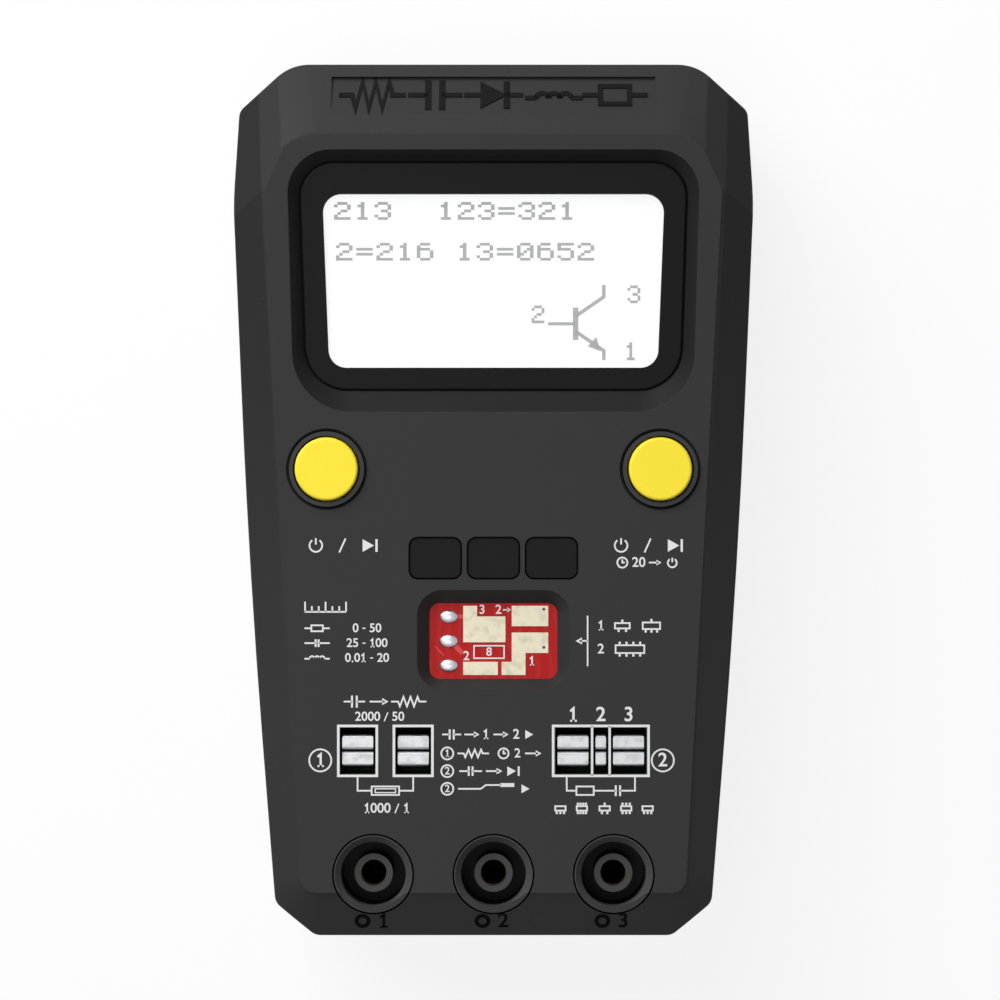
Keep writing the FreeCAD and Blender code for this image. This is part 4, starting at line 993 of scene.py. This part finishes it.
class Symbols:
    """Common circuit symbols drawn with a pen."""

    HEAVY = 1.2
    LEG_WIDTH = 1.3
    LEG_LENGTH = 0.45
    LEG_OUT = 0.2

    def __init__(self, pen: Pen, line: float) -> None:
        """Keep the pen and the width of its line.

        Args:
            pen: The pen.
            line: Line width.
        """
        self.pen = pen
        self.line = line

    def leads(self, x: float, y: float, inner: float, outer: float) -> None:
        """A lead on each side of a symbol.

        Args:
            x: Middle of the symbol.
            y: Row of the leads.
            inner: Where a lead starts, from the middle.
            outer: Where it ends.
        """
        for side in (-1, 1):
            self.pen.stroke([(x + side * inner, y), (x + side * outer, y)], self.line)

    def resistor(self, x: float, y: float, width: float, height: float) -> None:
        """A box with a lead at each end.

        Args:
            x: Middle of the symbol across.
            y: Its row.
            width: Its width over the leads.
            height: Its height.
        """
        body = width * 0.52
        self.pen.frame((x, y), body, height, self.line)
        self.leads(x, y, body / 2.0, width / 2.0)

    def zigzag(self, x: float, y: float, width: float, height: float) -> None:
        """A resistor drawn as a zigzag.

        Args:
            x: Middle of the symbol across.
            y: Its row.
            width: Its width over the leads.
            height: Its height.
        """
        step = width / 10.0
        points = [(x - width / 2.0, y), (x - 3.0 * step, y)]
        points += [(x + (i - 2.5) * step, y + height / 2.0 * (1 if i % 2 else -1))
                   for i in range(6)]
        points += [(x + 3.0 * step, y), (x + width / 2.0, y)]
        self.pen.stroke(points, self.line)

    def capacitor(self, x: float, y: float, width: float, height: float) -> None:
        """Two plates with a lead on each.

        Args:
            x: Middle of the symbol across.
            y: Its row.
            width: Its width over the leads.
            height: Its height.
        """
        gap = height * 0.2
        for plate in (x - gap, x + gap):
            self.pen.stroke([(plate, y - height / 2.0), (plate, y + height / 2.0)],
                            self.line * self.HEAVY)
        self.leads(x, y, gap, width / 2.0)

    def coil(self, x: float, y: float, width: float, height: float) -> None:
        """A coil drawn as a row of humps.

        Args:
            x: Middle of the symbol across.
            y: Its row.
            width: Its width over the leads.
            height: Its height.
        """
        radius = width * 0.1
        foot = y - height * 0.1
        for i in (-1, 0, 1):
            self.pen.arc((x + i * radius * 2.0, foot), radius, self.line, 0, 180)
        self.leads(x, foot, radius * 3.0, width / 2.0)

    def diode(self, x: float, y: float, width: float, height: float) -> None:
        """A triangle against a bar, with leads.

        Args:
            x: Middle of the symbol across.
            y: Its row.
            width: Its width over the leads.
            height: Its height.
        """
        half = height / 2.0
        reach = half * 0.8
        self.pen.area([(x - reach, y - half), (x + reach, y), (x - reach, y + half)])
        self.pen.stroke([(x + reach, y - half), (x + reach, y + half)], self.line * self.HEAVY)
        self.leads(x, y, reach, width / 2.0)

    def arrow(self, x: float, y: float, length: float, size: float, way: Way = Way.RIGHT) -> None:
        """An arrow from its tail along X.

        Args:
            x: Tail of the arrow.
            y: Row of the arrow.
            length: Its length.
            size: Size of its head.
            way: Where it points.
        """
        tip = x + way.value * length
        back = tip - way.value * size
        half = size * 0.55
        self.pen.stroke([(x, y), (tip - way.value * size * 0.6, y)], self.line)
        head = [(tip, y), (back, y + half), (back, y - half)]
        self.pen.area(head if way is Way.LEFT else list(reversed(head)))

    def power(self, x: float, y: float, size: float) -> None:
        """The common power sign."""
        self.pen.arc((x, y), size / 2.0, self.line, 125, 415)
        self.pen.stroke([(x, y + size * 0.08), (x, y + size * 0.58)], self.line)

    def play(self, x: float, y: float, size: float) -> None:
        """A triangle that points right."""
        self.pen.area([(x - size * 0.4, y - size / 2.0), (x + size * 0.5, y),
                       (x - size * 0.4, y + size / 2.0)])

    def clock(self, x: float, y: float, size: float) -> None:
        """A round dial with two hands."""
        self.pen.arc((x, y), size / 2.0, self.line, 0, 360)
        self.pen.stroke([(x, y + size * 0.32), (x, y), (x + size * 0.24, y)], self.line)

    def ringed(self, figure: str, x: float, y: float, radius: float) -> None:
        """A figure in a ring."""
        self.pen.arc((x, y), radius, self.line, 0, 360)
        self.pen.digits(figure, (x, y), radius * 1.2)

    def package(self, x: float, y: float, width: float, height: float, legs: Tuple[int, int]
                ) -> None:
        """A component package from above.

        Args:
            x: Centre across.
            y: Centre along.
            width: Width of its body.
            height: Height of its body.
            legs: Number of legs below and above.
        """
        self.pen.frame((x, y), width, height, self.line)
        for side, count in zip((-1, 1), legs):
            for i in range(count):
                spot = x + width * ((i + 0.5) / count - 0.5) * 0.9
                self.pen.bar((spot, y + side * (height / 2.0 + self.LEG_OUT)),
                             self.line * self.LEG_WIDTH, self.LEG_LENGTH)


@dataclass
class Dressing:
    """CAD nodes of one sub-assembly and the finish of each."""

    finishes: Dict[str, Finish] = field(default_factory=dict)

    def dress(self) -> None:
        """Give each node its finish."""
        for name, finish in self.finishes.items():
            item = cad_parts[name]
            item.data.materials.clear()
            item.data.materials.append(finish.material())
            log.info("dressed %s as %s", name, finish.name)

    def build(self) -> None:
        """Make the pieces that the frame does not have."""


@dataclass
class Case(Dressing):
    """The two shells, the battery cover and the screws that hold them."""

    tablet_y: float = 64.3
    tablet_z: float = 34.49
    tablet_run: float = 6.2
    tablet_fall: float = 3.46
    tablet_line: float = 0.8
    tablet_relief: float = 0.2
    tail_slope: float = 24.0
    tail_row: float = -66.95
    tail_height: float = 35.66
    figure_relief: float = 0.05
    figure_height: float = 2.5
    figure_offset: float = 1.55
    ring_offset: float = -1.75
    ring_radius: float = 0.95
    ring_line: float = 0.62

    def __post_init__(self) -> None:
        """Name the nodes."""
        self.finishes = {"front_shell": CASE, "rear_shell": CASE, "battery_cover": CASE,
                         "case_screws": ZINC, "cover_screws": ZINC, "board_screws": ZINC}

    def build(self) -> None:
        """Raised symbols on the head tablet and marks below the jacks."""
        self.tablet()
        self.jack_marks()

    def tablet(self) -> None:
        """A row of circuit symbols along the head tablet, dark to paint the shade of moulded
        lettering.
        """
        pen = Pen(Sheet((0.0, self.tablet_y, self.tablet_z),
                        up=(0.0, self.tablet_run, -self.tablet_fall),
                        thickness=self.tablet_relief))
        marks = Symbols(pen, self.tablet_line)
        for draw, x, width, height in ((marks.zigzag, -19.3, 10.6, 5.2),
                                       (marks.capacitor, -9.3, 8.6, 5.6),
                                       (marks.diode, 0.0, 9.4, 5.2),
                                       (marks.coil, 9.6, 9.2, 5.6),
                                       (marks.resistor, 19.3, 10.4, 4.2)):
            draw(x, 0.0, width, height)
        pen.piece("tablet_symbols", TABLET_SHADE)

    def jack_marks(self) -> None:
        """A ring and a figure below each jack, on the slope of the tail, nearly black to paint the
        shade of engraved marks.
        """
        angle = math.radians(self.tail_slope)
        pen = Pen(Sheet((0.0, self.tail_row, self.tail_height),
                        up=(0.0, math.cos(angle), math.sin(angle)),
                        thickness=self.figure_relief))
        for i in (1, 2, 3):
            x = middle_of(f"jack_{i}_socket").x
            pen.arc((x + self.ring_offset, 0.0), self.ring_radius, self.ring_line, 0, 360)
            pen.digits(str(i), (x + self.figure_offset, 0.0), self.figure_height)
        pen.piece("jack_figures", ENGRAVING_SHADE)


@dataclass
class Display(Dressing):
    """The display with its bezel, lens and lit cells."""

    cell: float = 0.40
    column: float = 0.52
    figure_columns: float = 6.2
    overlap: float = 1.12
    lift: float = 0.02
    relief: float = 0.02
    top_row: float = 46.0
    second_row: float = 39.5
    bar_x: float = 13.1
    bar_y: float = 28.0
    bar_height: float = 5.2
    bar_width: float = 1.7
    base_reach: float = 4.4
    leg_width: float = 1.1
    leg_start: float = 1.2
    leg_bend: Point = (4.5, 4.3)
    leg_ends: Point = (6.2, 5.8)

    # Five columns by seven rows of cells, from the top.
    GLYPHS = {
        "0": "01110 10001 10011 10101 11001 10001 01110",
        "1": "00100 01100 00100 00100 00100 00100 01110",
        "2": "01110 10001 00001 00110 01000 10000 11111",
        "3": "01110 10001 00001 00110 00001 10001 01110",
        "5": "11111 10000 11110 00001 00001 10001 01110",
        "6": "01110 10000 11110 10001 10001 10001 01110",
        "=": "00000 00000 11111 00000 11111 00000 00000",
    }

    def __post_init__(self) -> None:
        """Name the nodes."""
        self.finishes = {"display_bezel": BEZEL, "display_lens": LENS, "lcd_glass": DISPLAY,
                         "lcd_backlight": LIGHT_GUIDE, "lcd_holder": BLACK, "lcd_pins": TIN}

    def write(self, pen: Pen, figures: str, x: float, y: float, wide: float) -> None:
        """Write figures in cells.

        Args:
            pen: The pen.
            figures: Digits and signs.
            x: Left edge of the first figure.
            y: Middle of the row.
            wide: Width of one cell.
        """
        for place, figure in enumerate(figures):
            left = x + place * wide * self.figure_columns
            rows = self.GLYPHS[figure].split()
            for row, bits in enumerate(rows):
                height = y + (len(rows) // 2 - row) * self.cell
                for column, bit in enumerate(bits):
                    if bit == "1":
                        pen.bar((left + (column + 0.5) * wide, height), wide * self.overlap,
                                self.cell * self.overlap)

    def build(self) -> None:
        """Cells that show readings and a transistor with its numbered legs."""
        pen = Pen(Sheet((0.0, 0.0, top_of("lcd_glass")), lift=self.lift, thickness=self.relief))
        for figures, x, y in (("213", -25.4, self.top_row), ("123=321", -8.9, self.top_row),
                              ("2=216", -25.1, self.second_row),
                              ("13=0652", -5.9, self.second_row)):
            self.write(pen, figures, x, y, self.column)
        for figure, x, y in (("3", 21.4, 32.7), ("2", 6.1, 29.5), ("1", 20.9, 23.6)):
            self.write(pen, figure, x, y, self.cell)
        self.transistor(pen)
        pen.piece("display_cells", CELL)

    def transistor(self, pen: Pen) -> None:
        """A transistor with an arrow on its emitter.

        Args:
            pen: The pen.
        """
        x, y, line = self.bar_x, self.bar_y, self.column
        pen.stroke([(x - self.base_reach, y), (x, y)], line)
        pen.bar((x, y), line * self.bar_width, self.bar_height)
        out, rise = self.leg_bend
        for side, end in zip((1, -1), self.leg_ends):
            pen.stroke([(x, y + side * self.leg_start), (x + out, y + side * rise),
                        (x + out, y + side * end)], line * self.leg_width)
        pen.area([(x + 4.0, y - 4.4), (x + 3.3, y - 2.1), (x + 1.9, y - 3.6)])


@dataclass
class Buttons(Dressing):
    """The two push buttons, their collars and switches."""

    def __post_init__(self) -> None:
        """Name the nodes."""
        parts = (("button_cap", YELLOW), ("button_collar", COLLAR), ("switch_body", BLACK),
                 ("switch_plunger", BLACK))
        self.finishes = {f"{side}_{part}": finish for side in ("left", "right")
                         for part, finish in parts}
        self.finishes["blank_keys"] = KEY


@dataclass
class PadTray(Dressing):
    """The red pad board with its pads, joints and print."""

    print_lift: float = 0.034
    figure_height: float = 1.4
    top_row: float = -17.55
    label: Point = (-0.7, -24.25)
    label_width: float = 5.0
    label_height: float = 2.2
    label_line: float = 0.22
    label_figure: float = 1.3
    arrow_line: float = 0.2
    dot_radius: float = 0.24
    dots: Tuple[Point, ...] = ((8.0, -17.45), (8.0, -23.5))

    def __post_init__(self) -> None:
        """Name the nodes."""
        self.finishes = {"pad_board": RED_BOARD, "test_pads": GOLD, "pad_pins": TIN,
                         "solder_joints": SOLDER}

    def build(self) -> None:
        """Runs under the lacquer, the print over them and small dots on the pads."""
        self.runs()
        self.prints()
        pen = Pen(Sheet((0.0, 0.0, top_of("test_pads"))))
        for spot in self.dots:
            pen.disc(spot, self.dot_radius)
        pen.piece("pad_dots", DARK_INK)

    def runs(self) -> None:
        """Paler copper runs from the joints to the pads."""
        pen = Pen(Sheet((0.0, 0.0, top_of("pad_board"))))
        for points, width in ((((-7.1, -22.5), (-6.4, -22.9), (-4.9, -24.5)), 0.75),
                              (((-7.1, -18.6), (-4.6, -18.6)), 0.7),
                              (((-7.9, -24.8), (-9.2, -23.4)), 0.2)):
            pen.stroke(points, width)
        pen.piece("pad_board_runs", RED_TRACE)

    def prints(self) -> None:
        """A boxed figure, the figures of the pads and a small arrow."""
        pen = Pen(Sheet((0.0, 0.0, top_of("pad_board")), lift=self.print_lift))
        row = self.top_row
        pen.frame(self.label, self.label_width, self.label_height, self.label_line)
        pen.digits("8", self.label, self.label_figure)
        for figure, x, y in (("3", -1.8, row), ("2", 0.8, row), ("2", -4.3, -24.9),
                             ("1", 6.1, -25.7)):
            pen.digits(figure, (x, y), self.figure_height)
        pen.stroke([(1.5, row), (2.4, row)], self.arrow_line)
        pen.area([(2.2, row - 0.4), (2.75, row), (2.2, row + 0.4)])
        pen.piece("pad_board_print", WHITE_INK)


@dataclass
class Clips(Dressing):
    """The spring clips of both ports and their bases."""

    def __post_init__(self) -> None:
        """Name the nodes."""
        rows = ("discharge_clip_left", "discharge_clip_right", "test_clip_1", "test_clip_2",
                "test_clip_3")
        self.finishes = {f"{row}_{side}": CLIP for row in rows for side in ("upper", "lower")}
        self.finishes.update({"discharge_clip_base": BLACK, "test_clip_base": BLACK})


@dataclass
class Jacks(Dressing):
    """The three shrouded jacks."""

    def __post_init__(self) -> None:
        """Name the nodes."""
        for i in (1, 2, 3):
            self.finishes[f"jack_{i}_socket"] = SOCKET
            self.finishes[f"jack_{i}_contact"] = BRASS


@dataclass
class Inside(Dressing):
    """The board with its parts, and the battery."""

    def __post_init__(self) -> None:
        """Name the nodes."""
        self.finishes = {
            "main_board": GREEN_BOARD, "microcontroller": CHIP, "crystal": CAN,
            "voltage_regulator": CHIP, "reservoir_capacitor": CAN, "chip_passives": CERAMIC,
            "discharge_resistor": CERAMIC, "battery": BATTERY, "battery_foam": FOAM,
            "battery_terminals": TIN, "battery_snap": BLACK, "battery_lead_red": RED_LEAD,
            "battery_lead_black": BLACK_LEAD}


@dataclass
class PanelPrint(Dressing):
    """The white print on the front panel."""

    panel_z: float = field(init=False)
    clip_row: float = field(init=False)
    ports: Point = field(init=False)
    test_port: float = field(init=False)
    line: float = 0.26
    figure: float = 1.5
    small_figure: float = 1.4
    head: float = 0.9
    frame_height: float = 8.3
    frame_line: float = 0.4
    port_frame: float = 6.5
    test_frame: float = 15.5
    divider: float = 1.39
    divider_line: float = 0.36
    divider_gap: float = 0.5
    circuit_row: float = -46.1
    circuit_box: Point = (4.6, 1.6)
    circuit_core: Point = (3.4, 0.8)
    test_reach: float = 5.4
    clip_pitch: float = 4.4
    clip_figure: float = 2.2
    clip_figure_row: float = -34.1
    port_row: float = -41.3
    port_ring: float = 1.75
    note_row: float = -48.9
    button_row: float = -7.3
    button_sign: float = 2.0
    button_columns: Point = (-23.9, 24.4)
    timer_row: float = -10.0
    scale_row: float = -17.8
    scale_pitch: float = 1.08
    range_row: float = -20.4
    range_pitch: float = 2.35
    range_figure: float = 1.35
    pad_arrow: Point = (14.9, -22.4)
    pad_rows: Point = (-20.0, -23.7)
    discharge_row: float = -32.0
    discharge_figure_row: float = -34.4
    step_rows: Tuple[float, ...] = (-37.2, -40.2, -43.0, -45.8)
    step_column: float = -7.3
    step_ring: float = 0.95

    def __post_init__(self) -> None:
        """Find the panel and the clip ports in the frame."""
        port = middle_of("test_clip_base")
        left, right = (middle_of(f"discharge_clip_{side}_upper").x for side in ("left", "right"))
        self.panel_z = top_of("front_shell")
        self.clip_row = port.y
        self.ports = (left, right)
        self.test_port = port.x

    def build(self) -> None:
        """Make each group of prints."""
        for name, draw in (("print_clip_frames", self.clip_frames),
                           ("print_port_marks", self.port_marks),
                           ("print_button_marks", self.button_marks),
                           ("print_ranges", self.ranges), ("print_pad_note", self.pad_note),
                           ("print_steps", self.steps)):
            pen = Pen(Sheet((0.0, 0.0, self.panel_z)))
            draw(pen, Symbols(pen, self.line))
            pen.piece(name, WHITE_INK)

    def clip_frames(self, pen: Pen, marks: Symbols) -> None:
        """Frames round the clip windows and the circuits below them.

        Args:
            pen: The pen.
            marks: Its symbols.
        """
        for x in self.ports:
            pen.frame((x, self.clip_row), self.port_frame, self.frame_height, self.frame_line)
        pen.frame((self.test_port, self.clip_row), self.test_frame, self.frame_height,
                  self.frame_line)
        for x in (self.test_port - self.divider, self.test_port + self.divider):
            pen.bar((x, self.clip_row), self.divider_line, self.frame_height - self.divider_gap)
        self.discharge_circuit(pen)
        self.test_circuit(pen, marks)

    def discharge_circuit(self, pen: Pen) -> None:
        """A resistor between the two discharge clips.

        Args:
            pen: The pen.
        """
        foot, row = self.clip_row - self.frame_height / 2.0, self.circuit_row
        left, right = self.ports
        middle = (left + right) / 2.0
        width, height = self.circuit_box
        for x, inner in ((left, middle - width / 2.0), (right, middle + width / 2.0)):
            pen.stroke([(x, foot), (x, row), (inner, row)], self.line)
        pen.frame((middle, row), width, height, self.line)
        pen.frame((middle, row), *self.circuit_core, self.line * 0.7)

    def test_circuit(self, pen: Pen, marks: Symbols) -> None:
        """A resistor and a capacitor between the outer test clips.

        Args:
            pen: The pen.
            marks: Its symbols.
        """
        foot, row = self.clip_row - self.frame_height / 2.0, self.circuit_row
        start, end = self.test_port - self.test_reach, self.test_port + self.test_reach
        pen.stroke([(start, foot), (start, row), (start + 1.4, row)], self.line)
        pen.frame((start + 2.9, row), 3.0, 1.6, self.line)
        pen.stroke([(start + 4.4, row), (start + 7.5, row)], self.line)
        marks.capacitor(start + 8.1, row, 1.2, 1.7)
        pen.stroke([(start + 8.7, row), (end, row), (end, foot)], self.line)

    def port_marks(self, pen: Pen, marks: Symbols) -> None:
        """Figures of the clips and ports, and the lines below them.

        Args:
            pen: The pen.
            marks: Its symbols.
        """
        for i in (1, 2, 3):
            x = self.test_port + (i - 2) * self.clip_pitch
            pen.digits(str(i), (x, self.clip_figure_row), self.clip_figure)
        marks.ringed("1", -27.4, self.port_row, self.port_ring)
        marks.ringed("2", 26.8, self.port_row, self.port_ring)
        pen.digits("1000 / 1", (-16.9, self.note_row), self.figure)
        for x, legs in ((10.6, (3, 0)), (14.0, (4, 4)), (17.6, (2, 1)), (21.0, (3, 3)),
                        (24.4, (3, 0))):
            marks.package(x, self.note_row, 1.9, 0.95, legs)

    def button_marks(self, pen: Pen, marks: Symbols) -> None:
        """Power and start signs below the buttons, and a timer below the right ones.

        Args:
            pen: The pen.
            marks: Its symbols.
        """
        y, size = self.button_row, self.button_sign
        for x in self.button_columns:
            marks.power(x - 4.2, y, size)
            pen.stroke([(x - 0.5, y - 1.1), (x + 0.5, y + 1.1)], self.line)
            marks.play(x + 4.0, y, size)
            pen.bar((x + 5.4, y), 0.36, size)
        y = self.timer_row
        marks.clock(20.4, y, 1.6)
        pen.digits("20", (23.0, y), self.figure)
        marks.arrow(24.6, y, 2.0, 0.8)
        marks.power(28.3, y - 0.05, 1.4)

    def ranges(self, pen: Pen, marks: Symbols) -> None:
        """A scale with the range of each kind of component.

        Args:
            pen: The pen.
            marks: Its symbols.
        """
        pen.stroke([(-29.9, self.scale_row), (-23.3, self.scale_row)], self.line)
        for i in range(7):
            height = 1.6 if i % 3 == 0 else 0.9
            pen.bar((-29.8 + self.scale_pitch * i, self.scale_row + height / 2.0), self.line,
                    height)
        rows = ((marks.resistor, "0 - 50"), (marks.capacitor, "25 - 100"),
                (marks.coil, "0.01 - 20"))
        for i, (symbol, span) in enumerate(rows):
            y = self.range_row - self.range_pitch * i
            symbol(-27.9, y, 4.0, 1.2)
            pen.digits(span, (-20.0, y), self.range_figure)

    def pad_note(self, pen: Pen, marks: Symbols) -> None:
        """An arrow to the pads and the packages that fit them.

        Args:
            pen: The pen.
            marks: Its symbols.
        """
        upper, lower = self.pad_rows
        marks.arrow(*self.pad_arrow, 1.9, 1.0, Way.LEFT)
        pen.bar(self.pad_arrow, 0.24, 8.0)
        pen.digits("1", (17.0, upper), self.figure)
        marks.package(20.4, upper, 2.6, 1.1, (2, 1))
        marks.package(25.0, upper, 3.0, 1.3, (3, 1))
        pen.digits("2", (17.0, lower), self.figure)
        marks.package(21.6, lower, 4.8, 1.5, (4, 4))

    def steps(self, pen: Pen, marks: Symbols) -> None:
        """Signs in order: discharge at the first port, then test at the second.

        Args:
            pen: The pen.
            marks: Its symbols.
        """
        y = self.discharge_row
        marks.capacitor(-22.0, y, 3.4, 1.9)
        marks.arrow(-19.6, y, 3.0, 1.0)
        marks.zigzag(-13.4, y, 5.6, 1.5)
        pen.digits("2000 / 50", (-18.0, self.discharge_figure_row), self.small_figure)
        y = self.step_rows[0]
        marks.capacitor(-6.6, y, 3.0, 1.6)
        marks.arrow(-4.6, y, 2.4, self.head)
        pen.digits("1", (-1.2, y), self.figure)
        marks.arrow(0.0, y, 2.4, self.head)
        pen.digits("2", (3.6, y), self.figure)
        marks.play(5.6, y, 1.4)
        for figure, y in zip("122", self.step_rows[1:]):
            marks.ringed(figure, self.step_column, y, self.step_ring)
        y = self.step_rows[1]
        marks.zigzag(-3.2, y, 5.0, 1.2)
        marks.clock(1.6, y, 1.6)
        pen.digits("2", (3.8, y), self.small_figure)
        marks.arrow(5.0, y, 2.6, self.head)
        y = self.step_rows[2]
        marks.capacitor(-3.6, y, 3.6, 1.5)
        marks.arrow(-1.2, y, 2.6, self.head)
        marks.play(2.8, y, 1.5)
        pen.bar((4.0, y), 0.3, 1.5)
        y = self.step_rows[3]
        raised = y + 0.6
        pen.stroke([(-5.6, y), (-2.0, y), (-1.2, raised), (1.2, raised)], self.line)
        pen.bar((2.2, raised), 2.2, 0.6)
        marks.play(5.0, y, 1.4)


@dataclass
class Studio:
    """Floor, lamps, sky and camera; its lengths are metres."""

    key_way: Triple = (-0.66, 0.93, 1.0)
    key_distance: float = 0.9
    key_size: float = 0.75
    key_power: float = 9.8
    front_spot: Triple = (-0.13, -0.2, 1.0)
    front_size: float = 0.5
    front_power: float = 2.7
    sky: float = 0.06
    floor_reach: float = 3.0
    floor_drop: float = 0.0002
    paper: float = 0.5
    paper_grain: float = 0.04
    seen_lift: float = 0.9
    seen_white: float = 0.85
    camera_spot: Triple = (0.00104, -0.0001, 0.638)
    lens: float = 136.5
    sensor: float = 36.0
    nearest: float = 0.01

    def build(self) -> None:
        """Set up everything round the object."""
        scene = bpy.context.scene
        scene.view_settings.view_transform = "Standard"
        self.floor()
        self.lamp("key_lamp", Vector(self.key_way).normalized() * self.key_distance,
                  self.key_size, self.key_power)
        self.lamp("front_lamp", Vector(self.front_spot), self.front_size, self.front_power)
        self.world(scene)
        eye = bpy.data.cameras.new("camera")
        eye.lens = self.lens
        eye.sensor_width = self.sensor
        eye.clip_start = self.nearest
        holder = bpy.data.objects.new("camera", eye)
        holder.location = self.camera_spot
        scene.collection.objects.link(holder)
        scene.camera = holder

    def lamp(self, name: str, spot: Vector, size: float, power: float) -> None:
        """A square soft lamp that faces the object.

        Args:
            name: Its name.
            spot: Where it hangs.
            size: Edge length.
            power: Watts.
        """
        light = bpy.data.lights.new(name, "AREA")
        light.size = size
        light.energy = power
        holder = bpy.data.objects.new(name, light)
        holder.location = spot
        holder.rotation_euler = (-spot).to_track_quat("-Z", "Y").to_euler()
        bpy.context.scene.collection.objects.link(holder)

    def floor(self) -> None:
        """A pale floor that keeps a soft shadow."""
        graph = Graph("floor_paper")
        grain = graph.noise(graph.place(), scale=0.05, detail=3.0)
        seen = graph.seen()
        tone = (1.0 + grain.swing(self.paper_grain)) * (1.0 + seen * self.seen_lift)
        colour = graph.shade((self.paper, self.paper, self.paper), tone)
        paper = graph.node("ShaderNodeBsdfDiffuse", {}, {"Color": colour})
        white = graph.node("ShaderNodeEmission", {}, {"Color": (*WHITE, 1.0), "Strength": 1.0})
        mixed = graph.node("ShaderNodeMixShader", {},
                           {0: seen * self.seen_white, 1: paper, 2: white})
        graph.node("ShaderNodeOutputMaterial", {}, {"Surface": mixed})
        data = bpy.data.meshes.new("floor")
        corners = [(i * self.floor_reach, j * self.floor_reach, 0.0) for i, j in Pen.CORNERS]
        data.from_pydata(corners, [], [(0, 1, 2, 3)])
        data.materials.append(graph.owner)
        item = bpy.data.objects.new("floor", data)
        item.location.z = -self.floor_drop
        bpy.context.scene.collection.objects.link(item)

    def world(self, scene: bpy.types.Scene) -> None:
        """An even dim sky, white where it is seen.

        Args:
            scene: The scene.
        """
        graph = Graph("sky", bpy.data.worlds)
        strength = self.sky + graph.seen() * (1.0 - self.sky)
        back = graph.node("ShaderNodeBackground", {},
                          {"Color": (*WHITE, 1.0), "Strength": strength})
        graph.node("ShaderNodeOutputWorld", {}, {"Surface": back})
        scene.world = graph.owner


def write_sizes() -> None:
    """Update the view layer."""
    bpy.context.view_layer.update()


def main() -> None:
    """Dress the frame, add the pieces and set up the studio."""
    logging.basicConfig(level=logging.INFO, format="%(message)s")
    for part in (Case(), Display(), Buttons(), PadTray(), Clips(), Jacks(), Inside(),
                 PanelPrint()):
        part.dress()
        part.build()
    Studio().build()
    write_sizes()


if __name__ == "__main__":
    main()
